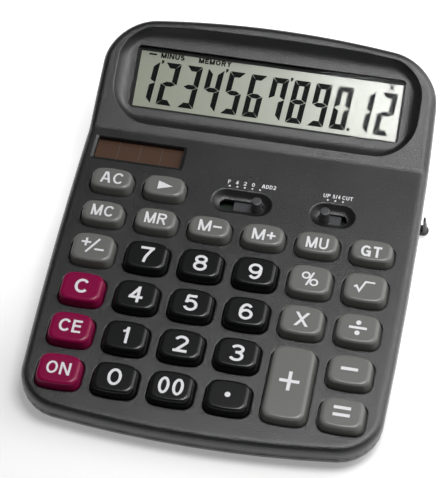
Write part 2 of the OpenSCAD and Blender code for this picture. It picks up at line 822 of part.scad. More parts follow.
// Fold-out stand: hinge under the rear of the panel, foot bar on the desk
sleeve_r = bar_r + sleeve_t;
trough_t = 1.5;
groove_roof = board_depth + board_t + 3 * fit + trough_t;
hinge_gap = 1;
groove_rear = mid_screw_y - boss_r - hinge_gap;
hinge_y = groove_rear - bar_r - hinge_gap;
hinge_depth = groove_roof + sleeve_r + hinge_gap;
hinge_height = desk_z + hinge_y * sin(panel_tilt) - hinge_depth * cos(panel_tilt);
stand_len = (hinge_height - sleeve_r) / cos(stand_lean + panel_tilt);
groove_front = hinge_y - stand_len - sleeve_r - hinge_gap;
lug_in = 18.3;
lug_x = half_w - lug_in;
lug_w = 4;
lug_r = 3;
lug_gap = 0.4;
barrel_half = lug_x - lug_gap;
module on_hinge() {
    translate([0, hinge_y, -hinge_depth]) children();
}
module bar(r, from, to) {
    translate([from, 0, 0]) rotate([0, 90, 0]) cylinder(r = r, h = to - from);
}
module on_stand() {
    in_panel() on_hinge() rotate([stand_lean, 0, 0]) children();
}
shoulder_drop = lug_r + 3 * lug_gap;
pad_in = 16.3;
pad_x = half_w - pad_in;
pad_len = 16;
stand_half = half_w + stand_out;
ear_gap = 0.6;
ear_t = 0.8;
ear_r = 1;
ear_rise = 3;
ear_flare = 1.4;
ear_foot_r = 1.8;
// Ear beside the case, from the end of the foot bar up to the hinge, to fold the stand out by
module stand_ear(wing) {
    inner = half_w + ear_gap;
    hull() {
        $fn = 32;
        translate([0, ear_reach - ear_r, ear_rise]) bar(ear_r, inner, inner + ear_t);
        translate([0, 0, -stand_len]) bar(ear_foot_r, inner, wing + ear_flare);
    }
}
module tilt_stand() {
    wing = stand_half - bar_r;
    root = half_w - edge_r / 2;
    color([0.13, 0.135, 0.14]) on_stand() difference() {
        union() {
            bar(bar_r, -barrel_half, barrel_half);
            translate([0, stand_t / 2, 0]) rotate([90, 0, 0]) linear_extrude(stand_t) polygon([
                [-barrel_half, 0],
                [-barrel_half, -shoulder_drop],
                [-root, -shoulder_drop],
                [-wing, -stand_len],
                [wing, -stand_len],
                [root, -shoulder_drop],
                [barrel_half, -shoulder_drop],
                [barrel_half, 0]
            ]);
            translate([0, 0, -stand_len]) {
                bar(bar_r, -wing, wing);
                both_sides() translate([wing, 0, 0]) sphere(bar_r);
            }
            both_sides() stand_ear(wing);
        }
        both_sides() bar(pin_r, barrel_half - pin_hold, barrel_half + over);
        translate([0, 0, -stand_len]) both_sides() difference() {
            bar(sleeve_r, pad_x - pad_len / 2 - fit, pad_x + pad_len / 2 + fit);
            bar(bar_r - sleeve_t, pad_x - pad_len / 2 - over, pad_x + pad_len / 2 + over);
        }
    }
}
pin_hold = 5;
module stand_pins() {
    color([0.7, 0.7, 0.72]) on_stand() both_sides() bar(pin_r, barrel_half - pin_hold, lug_x + lug_w);
}
module stand_pads() {
    color([0.05, 0.05, 0.05]) on_stand() translate([0, 0, -stand_len]) both_sides() difference() {
        bar(sleeve_r, pad_x - pad_len / 2, pad_x + pad_len / 2);
        bar(bar_r - sleeve_t + fit, pad_x - pad_len, pad_x + pad_len);
    }
}

// Rubber feet: the front ones are cut level with the desk
foot_in = 24.3;
foot_x = half_w - foot_in;
rear_foot_in = 36.3;
rear_foot_x = half_w - rear_foot_in;
rear_foot_y = groove_rear + boss_r + foot_r;
rear_foot_h = 1.2;
foot_seat = 0.8;
module front_feet() {
    color([0.05, 0.05, 0.05]) intersection() {
        in_panel() both_sides() on_under(foot_x, front_foot_y) rod(foot_r, -foot_seat, foot_h + foot_r);
        translate([-body_w, -total_len, 0]) cube([2 * body_w, 2 * total_len, total_len]);
    }
}
module rear_feet() {
    color([0.05, 0.05, 0.05]) in_panel() both_sides() on_under(rear_foot_x, rear_foot_y)
        rod(foot_r, -foot_seat, rear_foot_h);
}

rib_t = 1.6;
rib_share = 0.8;
RIBS = [-0.25, 0.25];
post_r = 1.8;
BOARD_POSTS = [for (x = [-2 * pitch_x, 2 * pitch_x], r = [0.5, 2.5]) [x, key_y(r)]];
module bottom_case() {
    color([0.24, 0.245, 0.25]) in_panel() difference() {
        union() {
            difference() {
                under_shape(0, seam_depth);
                under_shape(wall, seam_depth - over);
            }
            intersection() {
                union() {
                    translate([0, (groove_front + groove_rear) / 2, 0]) block(
                        2 * body_w,
                        groove_rear - groove_front + 2 * trough_t,
                        groove_roof - trough_t,
                        rear_depth
                    );
                    at_panel_screws() rod(boss_r, post_depth, $deep);
                    at_head_screws() rod(boss_r, head_post_depth, $deep);
                    for (p = BOARD_POSTS) translate([p.x, p.y, 0])
                        rod(post_r, board_depth + board_t + fit, depth_at(p.y));
                    on_battery() {
                        linear_extrude(bay_t) polygon(
                            soft_rect(cover_w + 2 * bay_lip, cover_len + 2 * bay_lip, cover_r, 0)
                        );
                        cylinder(r = cell_r + cup_gap + cup_t, h = cup_top);
                    }
                    for (r = RIBS) on_window() translate([0, r * view_d, 0])
                        block(view_w * rib_share, rib_t, glass_back + foil_t + fit, rear_depth);
                }
                under_shape(wall / 2, seam_depth);
            }
        }
        translate([0, (groove_front + groove_rear) / 2, 0])
            block(2 * body_w, groove_rear - groove_front, groove_roof, 2 * rear_depth);
        at_panel_screws() {
            rod(screw_head_r + 2 * fit, $deep - head_sink, 2 * rear_depth);
            rod(screw_r + 2 * fit, seam_depth - over, rear_depth);
        }
        at_head_screws() {
            rod(screw_head_r + 2 * fit, $deep - head_sink, 2 * rear_depth);
            rod(screw_r + 2 * fit, seam_depth - over, rear_depth);
        }
        on_battery() {
            translate([0, 0, -over]) linear_extrude(cover_t + over)
                polygon(soft_rect(cover_w + 2 * fit, cover_len + 2 * fit, cover_r + fit, 0));
            cylinder(r = cell_r + cup_gap, h = cup_top + over);
            translate([0, -spring_w / 2 - fit, cover_t]) cube([2 * cell_r, spring_w + 2 * fit, cell_h]);
        }
        both_sides() {
            on_under(foot_x, front_foot_y) rod(foot_r + fit, -foot_seat, over);
            on_under(rear_foot_x, rear_foot_y) rod(foot_r + fit, -foot_seat, over);
        }
    }
    color([0.24, 0.245, 0.25]) in_panel() on_hinge() both_sides() difference() {
        union() {
            bar(lug_r, lug_x, lug_x + lug_w);
            translate([lug_x, -lug_r, 0]) cube([lug_w, 2 * lug_r, hinge_depth - groove_roof + trough_t / 2]);
        }
        bar(pin_r + pin_gap, lug_x - over, lug_x + lug_w + over);
    }
}

// Pan head screws from below
module screw(r, head_r, head_h, tip, seat) {
    rod(r, tip, seat + head_h / 2);
    rod(head_r, seat, seat + head_h);
}
module case_screws() {
    color([0.6, 0.6, 0.62]) in_panel() {
        at_panel_screws() screw(screw_r, screw_head_r, screw_head_h, wall + 2 * over, $deep - head_sink);
        at_head_screws() screw(screw_r, screw_head_r, screw_head_h, lens_front + 2 * over, $deep - head_sink);
    }
}
module board_screws() {
    color([0.6, 0.6, 0.62]) in_panel() for (p = BOARD_SCREWS) translate([p.x, p.y, 0])
        screw(board_screw_r, board_head_r, board_head_h, wall + 2 * over, board_depth + board_t);
}

top_case();
bottom_case();
display_window();
lcd_frame();
lcd_panel();
lcd_reflector();
lcd_ribbon();
solar_cell();
solar_leads();
key_mat();
main_board();
chip_cover();
capacitor();
decimal_slider();
decimal_contact();
rounding_slider();
rounding_contact();
battery_cover();
button_cell();
battery_contact_plus();
battery_contact_minus();
tilt_stand();
stand_pins();
stand_pads();
front_feet();
rear_feet();
case_screws();
board_screws();
for (k = KEYS) {
    key_cap(k);
}
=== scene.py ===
import math

import bmesh
import bpy
import numpy as np
from mathutils.geometry import delaunay_2d_cdt
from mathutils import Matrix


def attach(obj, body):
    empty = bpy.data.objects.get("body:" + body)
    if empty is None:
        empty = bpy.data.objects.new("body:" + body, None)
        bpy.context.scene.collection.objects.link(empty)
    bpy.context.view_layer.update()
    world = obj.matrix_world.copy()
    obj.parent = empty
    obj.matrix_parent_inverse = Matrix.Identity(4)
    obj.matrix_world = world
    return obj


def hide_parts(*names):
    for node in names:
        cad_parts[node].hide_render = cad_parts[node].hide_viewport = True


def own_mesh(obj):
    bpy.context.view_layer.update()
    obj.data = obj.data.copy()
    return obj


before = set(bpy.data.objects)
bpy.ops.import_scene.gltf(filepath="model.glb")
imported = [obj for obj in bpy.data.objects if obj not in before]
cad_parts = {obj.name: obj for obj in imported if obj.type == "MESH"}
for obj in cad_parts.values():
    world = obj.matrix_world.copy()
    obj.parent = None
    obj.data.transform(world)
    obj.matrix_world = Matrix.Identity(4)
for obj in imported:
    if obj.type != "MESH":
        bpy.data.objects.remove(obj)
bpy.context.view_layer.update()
scene = bpy.context.scene
scene.view_settings.view_transform = "Standard"
print("frame loaded:", len(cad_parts), "nodes")

# Lengths are in mm until onDesk turns them into metres. The panel's frame has x to the right, y from the
# front edge to the rear along the key panel and z up from the panel's surface.
mm = 0.001
case = dict(
    width=152.6, panelLen=147.0, headLen=55.4, frontDepth=12.6, rearDepth=18.0, wall=2.2, edgeR=3.4,
    underR=5.4, frontCornerR=16.0, rearCornerR=21.0, frontBow=6.0, rearBow=6.0, sideBow=2.0,
    widestAt=99.0, seam=7.0, seamChamfer=0.14, inset=0.08, panelTilt=6.0, headTilt=25.0, creaseR=7.0,
    footY=13.0, footH=1.6, guard=0.5, innerR=0.5, creaseInset=8.0,
)
halfW = case["width"] / 2
panelLen = case["panelLen"]
totalLen = panelLen + case["headLen"]
panelTilt = math.radians(case["panelTilt"])
headTilt = math.radians(case["headTilt"])
mitre = math.tan(headTilt / 2)
creaseT = case["creaseR"] * mitre
underRun = panelLen + case["rearDepth"] * mitre
deepening = case["rearDepth"] - case["frontDepth"]
footContact = case["frontDepth"] + deepening * case["footY"] / underRun + case["footH"]
deskZ = footContact * math.cos(panelTilt) - case["footY"] * math.sin(panelTilt)
frontReach = case["edgeR"] * (math.cos(panelTilt) + math.sin(panelTilt) - 1)
rearReach = (
    panelLen * math.cos(panelTilt) + (case["headLen"] - case["underR"]) * math.cos(panelTilt + headTilt)
    + (case["rearDepth"] - case["underR"]) * math.sin(panelTilt + headTilt) + case["underR"]
)
deskY = -(frontReach + rearReach) / 2


# panel frame to desk: a turn about x by the panel's slope, a shift, and mm to metres
def onDesk(points):
    x, y, z = np.moveaxis(np.asarray(points, float), -1, 0)
    c, s = math.cos(panelTilt), math.sin(panelTilt)
    return np.stack([x, deskY + y * c - z * s, deskZ + y * s + z * c], -1) * mm


# head frame (x, distance from the crease, height over the head) to panel frame: a turn about the crease
def onHead(points):
    x, t, z = np.moveaxis(np.asarray(points, float), -1, 0)
    c, s = math.cos(headTilt), math.sin(headTilt)
    return np.stack([x, panelLen + t * c - z * s, t * s + z * c], -1)


# a flat (x, length) sheet bent up at the crease on an arc, at a depth under the top surface
def bend(flat, depth):
    x, s = np.moveaxis(np.asarray(flat, float), -1, 0)
    r = case["creaseR"]
    phi = np.clip((s - panelLen + creaseT) / (2 * creaseT), 0, 1) * headTilt
    past = np.maximum(s - panelLen - creaseT, 0)
    y = np.minimum(s, panelLen - creaseT) + (r + depth) * np.sin(phi) + past * math.cos(headTilt)
    z = r - (r + depth) * np.cos(phi) + past * math.sin(headTilt)
    return np.stack([x, y, z], -1)


def oval(cx, cy, rx, ry, start, end, steps=24):
    a = np.radians(np.linspace(start, end, steps + 1))
    return np.stack([cx + rx * np.cos(a), cy + ry * np.sin(a)], -1)


def arc(cx, cy, r, start, end, steps):
    return oval(cx, cy, r, r, start, end, steps)


# outline drawn in by e: front edge, corner arc, side, crease, rear corner arc, rear edge, then mirrored;
# the front, rear and side edges bow with the square of the distance from the middle
def caseOutline(e):
    e = e + case["inset"]
    w, rf, rr = halfW - e, case["frontCornerR"] - e, case["rearCornerR"] - e
    side = np.concatenate([
        np.linspace(e + rf, panelLen - creaseT, 22)[1:],
        panelLen + creaseT * np.linspace(-1, 1, 9)[1:],
        np.linspace(panelLen + creaseT, totalLen - e - rr, 8)[1:-1],
    ])
    front = np.linspace(0, w - rf, 14)[:-1]
    rear = np.linspace(w - rr, 0, 14)[1:]
    half = np.concatenate([
        np.stack([front, np.full_like(front, e)], -1),
        arc(w - rf, e + rf, rf, -90, 0, 14),
        np.stack([np.full_like(side, w), side], -1),
        arc(w - rr, totalLen - e - rr, rr, 0, 90, 16),
        np.stack([rear, np.full_like(rear, totalLen - e)], -1),
    ])
    x, s = half.T
    q = x / halfW
    d = (s - case["widestAt"]) / case["widestAt"]
    ahead = s + case["frontBow"] * q * q * (1 - s / panelLen)
    behind = s - case["rearBow"] * q * q * (s - panelLen) / case["headLen"]
    half = np.stack([x * (1 - case["sideBow"] / halfW * d * d), np.where(s < panelLen, ahead, behind)], -1)
    return np.concatenate([half, half[-2:0:-1] * [-1, 1]])


# rounded rectangle whose front and back edges bow out by (1 - q squared), q from -1 to 1 across
def softRect(w, d, r, bow=0.0, corner=6, edge=9):
    reach, y = w / 2 - r, d / 2 - bow
    right = arc(reach, y - r, r, 0, 90, corner)
    across = np.linspace(reach, -reach, edge)[1:-1]
    back = np.concatenate([right, np.stack([across, np.full_like(across, y)], -1), right[::-1] * [-1, 1]])
    back[:, 1] += bow * (1 - (2 * back[:, 0] / w) ** 2)
    return np.concatenate([back, -back])


def atHeight(loop, z, x=0.0, y=0.0):
    return np.concatenate([loop + [x, y], np.full((len(loop), 1), z)], -1)


# quads between neighbouring rows of a closed grid
def loft(rings, ink=0, wear=None):
    rings = np.asarray(rings, float)
    rows, cols = rings.shape[:2]
    r = np.arange(rows - 1)[:, None] * cols
    c = np.arange(cols)[None]
    d = (c + 1) % cols
    quads = np.stack([r + c, r + d, r + cols + d, r + cols + c], -1).reshape(-1, 4)
    worn = np.zeros(rows * cols) if wear is None else np.repeat(np.asarray(wear, float), cols)
    return rings.reshape(-1, 3), quads.tolist(), ink, worn


# rings closed at both ends on a vertical axis
def closedLoft(rings, x=0.0, y=0.0):
    foot, top = [ring * [0, 0, 1] + [x, y, 0] for ring in (rings[0], rings[-1])]
    return loft([foot, *rings, top])


# profile of (radius, height) turned about a vertical axis
def lathe(profile, x, y, steps=32):
    profile = np.asarray(profile, float)
    a = np.linspace(0, 2 * np.pi, steps, endpoint=False)
    ring = np.stack([np.cos(a), np.sin(a)], -1)
    flat = profile[:, 0][:, None, None] * ring[None] + [x, y]
    height = np.broadcast_to(profile[:, 1][:, None, None], flat.shape[:2] + (1,))
    return loft(np.concatenate([flat, height], -1))


# flat outline between two heights
def prism(outline, low, high, ink):
    outline = np.asarray(outline, float)
    n = len(outline)
    points = np.concatenate([atHeight(outline, low), atHeight(outline, high)])
    i = np.arange(n)
    j = (i + 1) % n
    sides = np.stack([i, j, n + j, n + i], -1).tolist()
    return points, sides + [i[::-1].tolist(), (n + i).tolist()], ink, np.zeros(2 * n)


# strip of a given width along a path: each corner is moved along its mitre
def strokeLine(path, width):
    path = np.asarray(path, float)
    run = np.diff(path, axis=0)
    run /= np.linalg.norm(run, axis=1)[:, None]
    normal = np.stack([-run[:, 1], run[:, 0]], -1)
    first, last = np.concatenate([normal[:1], normal]), np.concatenate([normal, normal[-1:]])
    side = (first + last) / (1 + (first * last).sum(1))[:, None] * width / 2
    return np.concatenate([path - side, (path + side)[::-1]])


def barShape(x, y, w, h):
    return np.array([[-w, -h], [w, -h], [w, h], [-w, h]]) / 2 + [x, y]


def discShape(x, y, r, steps=24):
    return arc(x, y, r, 0, 360, steps)[:-1]


def insideLoop(points, loop):  # even-odd count of the edges to the right of each point
    a, b = loop, np.roll(loop, -1, 0)
    px, py = points[:, :1], points[:, 1:]
    crosses = (a[:, 1] > py) != (b[:, 1] > py)
    rise = np.where(a[:, 1] == b[:, 1], 1.0, b[:, 1] - a[:, 1])
    return (crosses & (px < a[:, 0] + (b[:, 0] - a[:, 0]) * (py - a[:, 1]) / rise)).sum(1) % 2 == 1


# triangles of the plane that keep closed loops and open lines as edges, and the middle of each triangle
def planeCells(loops, lines=()):
    loops = [loop[np.linalg.norm(loop - np.roll(loop, 1, 0), axis=1) > 1e-6] for loop in loops]
    parts = loops + list(lines)
    starts = np.cumsum([0] + [len(p) for p in parts])
    edges = []
    for k, part in enumerate(parts):
        i = np.arange(len(part)) + starts[k]
        pairs = np.stack([i, np.roll(i, -1)], -1)
        edges += (pairs if k < len(loops) else pairs[:-1]).tolist()
    made = delaunay_2d_cdt(np.concatenate(parts).tolist(), edges, [], 0, 1e-7)
    points, triangles = np.array([tuple(v) for v in made[0]]), np.array([list(f) for f in made[2]])
    return points, triangles, points[triangles].mean(1)


# plane area inside a loop and outside its holes
def flatArea(outer, holes, lines=()):
    points, triangles, middle = planeCells([outer] + list(holes), lines)
    keep = insideLoop(middle, outer)
    for hole in holes:
        keep &= ~insideLoop(middle, hole)
    return points, triangles[keep].tolist()


# one slab from flat shapes that may overlap, each a list of loops counted even-odd
def inkSlab(shapes, low, high, ink=0):
    points, triangles, middle = planeCells([loop for shape in shapes for loop in shape])
    keep = np.zeros(len(triangles), bool)
    for shape in shapes:
        keep |= sum(insideLoop(middle, loop).astype(int) for loop in shape) % 2 == 1
    triangles, n = triangles[keep], len(points)
    edges = np.concatenate([triangles[:, [0, 1]], triangles[:, [1, 2]], triangles[:, [2, 0]]])
    rim = edges[~np.isin(edges @ [n, 1], edges @ [1, n])]
    walls = np.concatenate([rim, rim[:, ::-1] + n], -1)
    faces = triangles[:, ::-1].tolist() + (triangles + n).tolist() + walls.tolist()
    return np.concatenate([atHeight(points, low), atHeight(points, high)]), faces, ink, np.zeros(2 * n)


# Lettering: each sign is drawn inside a box with strokes of one width, whose middle lines run a and b
# from the box's middle; a sign is a list of shapes. The widths count against each other within a word.
signWidth = dict(zip("ACDEFGIMNOPRSTUXY%/1", (
    0.84, 0.8, 0.78, 0.66, 0.62, 0.84, 0.2, 0.92, 0.8, 0.86, 0.72, 0.78, 0.72, 0.72, 0.76, 0.78, 0.8,
    1.15, 0.45, 0.42,
)))
digitWidth, signGap = 0.74, 0.16


def signShapes(sign, w, h, t):
    a, b, left, right, foot, top = (w - t) / 2, (h - t) / 2, -w / 2, w / 2, -h / 2, h / 2
    upper, lower = 0.46 * b, 0.54 * b
    waist = b - 2 * upper

    def stroke(*path):
        return [strokeLine(path, t)]

    def curve(cy, rx, ry, start, end, lead=(), tail=(), cx=0.0):
        return [strokeLine([*lead, *oval(cx, cy, rx, ry, start, end), *tail], t)]

    def ring(cx, cy, rx, ry):
        return [oval(cx, cy, rx + k * t / 2, ry + k * t / 2, 0, 360)[:-1] for k in (1, -1)]

    def bar(y, x0=left, x1=right):
        return [barShape((x0 + x1) / 2, y, x1 - x0, t)]

    def stem(x, y0=foot, y1=top):
        return [barShape(x, (y0 + y1) / 2, t, y1 - y0)]

    def slant(x0, x1, y0=foot, y1=top):
        half = t * 0.56
        return [np.array([[x0 - half, y0], [x0 + half, y0], [x1 + half, y1], [x1 - half, y1]])]

    bowl = curve((b + waist) / 2, 0.75 * a, (b - waist) / 2, 90, -90, [(-a, b)], [(-a, waist)], 0.25 * a)
    six = [ring(0, -0.4 * b, a, 0.6 * b), curve(0, a, b, 190, 42)]
    eye, drop = 0.25 * w - t / 2, 0.27 * h - t / 2
    return {
        "0": [ring(0, 0, a, b)],
        "1": [stem(a), [strokeLine([(left, 0.5 * b), (-0.2 * a, 0.62 * b), (a, b)], 0.8 * t)]],
        "2": [curve(0.44 * b, a, 0.56 * b, 165, -28, (), [(-0.75 * a, -b)]), bar(-b)],
        "3": [
            curve(b - upper, 0.95 * a, upper, 160, -90),
            curve(lower - b, 1.03 * a, lower, 90, -160, cx=-0.03 * a),
            bar(waist, -0.3 * a, 0.1 * a),
        ],
        "4": [stem(0.42 * a), bar(-0.42 * b), stroke((0.42 * a, b), (-a, -0.42 * b))],
        "5": [
            bar(b, -0.8 * a, 0.9 * a), stroke((-0.68 * a, b), (-0.84 * a, 0)),
            curve(-0.34 * b, 1.03 * a, 0.66 * b, 140, -160, cx=-0.03 * a),
        ],
        "6": six,
        "7": [bar(b), stroke((0.95 * a, b), (0.35 * a, 0.25 * b), (-0.1 * a, -0.4 * b), (-0.28 * a, foot))],
        "8": [ring(0, b - upper, 0.9 * a, upper), ring(0, lower - b, a, lower)],
        "9": [[-loop for loop in shape] for shape in six],
        "A": [slant(-a, -0.3 * t), slant(a, 0.3 * t), bar(-0.4 * b, -0.65 * a, 0.65 * a)],
        "C": [curve(0, 1.12 * a, b, 38, 322, cx=0.12 * a)],
        "D": [stem(-a), curve(0, a, b, 90, -90, [(-a, b)], [(-a, -b)])],
        "E": [stem(-a), bar(b), bar(waist, left, 0.85 * right), bar(-b)],
        "F": [stem(-a), bar(b), bar(waist, left, 0.8 * right)],
        "G": [
            curve(0, 1.06 * a, b, 38, 322, cx=0.06 * a), bar(-0.08 * b, 0.1 * a),
            stem(a, foot, -0.08 * b + t / 2),
        ],
        "I": [stem(0)],
        "M": [stem(-a), stem(a), slant(0, -a), slant(0, a)],
        "N": [stem(-a), stem(a), slant(a, -a)],
        "O": [ring(0, 0, a, b)],
        "P": [stem(-a), bowl],
        "R": [stem(-a), bowl, stroke((0, waist), (a, foot))],
        "S": [curve(b - upper, 0.95 * a, upper, 35, 270), curve(lower - b, a, lower, 90, -145)],
        "T": [bar(b), stem(0)],
        "U": [curve(a - b, a, a, 180, 360, [(-a, top)], [(a, top)])],
        "X": [slant(-a, a), slant(a, -a)],
        "Y": [slant(0, -a, -0.1 * b), slant(0, a, -0.1 * b), stem(0, foot, 0)],
        "/": [slant(-a, a)],
        "%": [ring(left + 0.25 * w, 0.23 * h, eye, drop), ring(right - 0.25 * w, -0.23 * h, eye, drop),
              slant(-0.36 * a, 0.36 * a)],
    }[sign]


# a line of signs of height h, spread over a width and centred on a point
def lettering(text, h, width, t, x=0.0, y=0.0):
    gap = signGap * h
    wide = np.array([signWidth.get(sign, digitWidth) for sign in text])
    wide *= (width - gap * (len(text) - 1)) / wide.sum()
    middle = x - width / 2 + np.cumsum(wide + gap) - gap - wide / 2
    placed = [(signShapes(sign, w, h, t), m) for sign, w, m in zip(text, wide, middle)]
    return [[loop + [m, y] for loop in shape] for shapes, m in placed for shape in shapes]


def moved(patch, x, y):
    points, faces, ink, worn = patch
    return points + [x, y, 0], faces, ink, worn


sharpAngle = 40.0


# one mesh from patches, each its points, faces, material number and wear
def makePiece(name, patches, body, finishes, nodes=(), sharp=sharpAngle, toDesk=onDesk):
    starts = np.cumsum([0] + [len(p[0]) for p in patches])
    faces = [[i + s for i in face] for p, s in zip(patches, starts) for face in p[1]]
    mesh = bpy.data.meshes.new(name)
    mesh.from_pydata(toDesk(np.concatenate([p[0] for p in patches])), [], faces)
    inks = np.concatenate([np.full(len(p[1]), p[2], "i") for p in patches])
    mesh.polygons.foreach_set("material_index", inks)
    worn = mesh.attributes.new("wear", "FLOAT", "POINT")
    worn.data.foreach_set("value", np.concatenate([p[3] for p in patches]))
    closeMesh(mesh, sharp)
    return placePiece(name, mesh, body, finishes, nodes)


def closeMesh(mesh, sharp, outward=True):  # doubles merged, faces out, shading smooth up to an angle
    work = bmesh.new()
    work.from_mesh(mesh)
    bmesh.ops.remove_doubles(work, verts=work.verts[:], dist=2e-6)
    bmesh.ops.dissolve_degenerate(work, edges=work.edges[:], dist=1e-7)
    if outward:
        bmesh.ops.recalc_face_normals(work, faces=work.faces[:])
    work.to_mesh(mesh)
    work.free()
    mesh.polygons.foreach_set("use_smooth", np.ones(len(mesh.polygons), bool))
    mesh.set_sharp_from_angle(angle=math.radians(sharp))


def newObject(name, data):
    obj = bpy.data.objects.new(name, data)
    scene.collection.objects.link(obj)
    return obj


def placePiece(name, mesh, body, finishes, nodes):
    obj = newObject(name, mesh)
    for look in finishes.split():
        mesh.materials.append(looks[look])
    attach(obj, body)
    if nodes:
        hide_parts(*nodes)
    return obj


# a merged copy of a CAD node with a small bevel on its edges and level shading on its flats
def softenedNode(node, name, body, look, bevel):
    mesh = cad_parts[node].data.copy()
    mesh.name = name
    mesh.materials.clear()
    closeMesh(mesh, sharpAngle, outward=False)
    obj = placePiece(name, mesh, body, look, [node])
    if bevel:
        edge = obj.modifiers.new("softEdges", "BEVEL")
        edge.width = bevel * mm
        edge.segments = 2
        edge.limit_method = "ANGLE"
        edge.angle_limit = math.radians(sharpAngle)
    level = obj.modifiers.new("levelFlats", "WEIGHTED_NORMAL")
    level.keep_sharp = True
    return obj


# plain values and other nodes' outputs, put into a node's sockets by name or number
def feed(node, sockets):
    for label, value in sockets.items():
        if isinstance(value, bpy.types.NodeSocket):
            node.id_data.links.new(value, node.inputs[label])
        else:
            node.inputs[label].default_value = value


# Shared surface effects: a group with named sockets, what it is given and its end node
def newGroup(name, inputs, outputs):
    group = bpy.data.node_groups.new(name, "ShaderNodeTree")
    for side, labels in (("INPUT", inputs), ("OUTPUT", outputs)):
        for label in labels.split():
            kind = "NodeSocketColor" if label == "Color" else "NodeSocketFloat"
            group.interface.new_socket(label, in_out=side, socket_type=kind)
    return group, group.nodes.new("NodeGroupInput").outputs, group.nodes.new("NodeGroupOutput")


def mathNode(tree, operation, a, b):
    node = tree.nodes.new("ShaderNodeMath")
    node.operation = operation
    feed(node, {0: a, 1: b})
    return node.outputs[0]


def noiseNode(tree, place, scale, detail):
    node = tree.nodes.new("ShaderNodeTexNoise")
    feed(node, dict(Vector=place, Scale=scale, Detail=detail))
    return node.outputs["Fac"]


def scaledColor(tree, color, factor):
    node = tree.nodes.new("ShaderNodeVectorMath")
    node.operation = "SCALE"
    feed(node, {0: color, "Scale": factor})
    return node.outputs[0]


surface = dict(
    flowMarks=45.0, grainDetail=2.0, wearPatches=320.0, wearDetail=4.0, wearFloor=0.25, bumpHeight=0.0004,
)


# moulded grain: colour, gloss and height follow a fine noise of grain size and a broad one of flow marks
def mouldedGrain():
    group, given, made = newGroup("mouldedGrain", "Color Grain Mottle Rough Spread", "Color Roughness Height")
    place = group.nodes.new("ShaderNodeTexCoord").outputs["Object"]
    fine = noiseNode(group, place, given["Grain"], surface["grainDetail"])
    broad = noiseNode(group, place, surface["flowMarks"], surface["grainDetail"])
    both = mathNode(group, "SUBTRACT", mathNode(group, "ADD", fine, broad), 1.0)
    swing = mathNode(group, "MULTIPLY", both, given["Mottle"])
    gloss = mathNode(group, "MULTIPLY", mathNode(group, "SUBTRACT", broad, 0.5), given["Spread"])
    color = scaledColor(group, given["Color"], mathNode(group, "ADD", swing, 1.0))
    feed(made, dict(Color=color, Roughness=mathNode(group, "ADD", gloss, given["Rough"]), Height=fine))
    return group


# handling wear: where the wear attribute is high and a patchy noise allows it, the surface is paler and
# smoother
def handlingWear():
    group, given, made = newGroup("handlingWear", "Color Roughness Lift Polish", "Color Roughness")
    place = group.nodes.new("ShaderNodeTexCoord").outputs["Object"]
    mark = group.nodes.new("ShaderNodeAttribute")
    mark.attribute_name = "wear"
    patchy = noiseNode(group, place, surface["wearPatches"], surface["wearDetail"])
    patchy = mathNode(group, "ADD", patchy, surface["wearFloor"])
    mask = mathNode(group, "MULTIPLY", mark.outputs["Fac"], patchy)
    lifted = mathNode(group, "ADD", mathNode(group, "MULTIPLY", mask, given["Lift"]), 1.0)
    polish = mathNode(group, "MULTIPLY", mask, given["Polish"])
    color = scaledColor(group, given["Color"], lifted)
    feed(made, dict(Color=color, Roughness=mathNode(group, "SUBTRACT", given["Roughness"], polish)))
    return group


grainGroup, wearGroup = mouldedGrain(), handlingWear()


def newMaterial(name):
    material = bpy.data.materials.new(name)
    material.use_nodes = True
    tree = material.node_tree
    return material, tree, tree.nodes["Principled BSDF"]


# a moulded, painted or metal finish: grain, then wear, on one Principled shader with its bump
def finish(name, color, rough, grain, mottle, spread, bump, plain=(), lift=0.0, polish=0.0):
    material, tree, shader = newMaterial(name)
    material.diffuse_color = (*color, 1.0)
    grained = tree.nodes.new("ShaderNodeGroup")
    grained.node_tree = grainGroup
    feed(grained, dict(Color=(*color, 1.0), Grain=grain, Mottle=mottle, Rough=rough, Spread=spread))
    tone, gloss = grained.outputs["Color"], grained.outputs["Roughness"]
    if lift or polish:
        worn = tree.nodes.new("ShaderNodeGroup")
        worn.node_tree = wearGroup
        feed(worn, dict(Color=tone, Roughness=gloss, Lift=lift, Polish=polish))
        tone, gloss = worn.outputs["Color"], worn.outputs["Roughness"]
    feed(shader, {"Base Color": tone, "Roughness": gloss, **dict(plain)})
    if bump:
        relief = tree.nodes.new("ShaderNodeBump")
        feed(relief, dict(Strength=bump, Distance=surface["bumpHeight"], Height=grained.outputs["Height"]))
        feed(shader, dict(Normal=relief.outputs["Normal"]))
    return material


def level(specular):
    return {"Specular IOR Level": specular}


metal = {"Metallic": 1.0}
shellTone = (0.013, 0.0132, 0.0138)
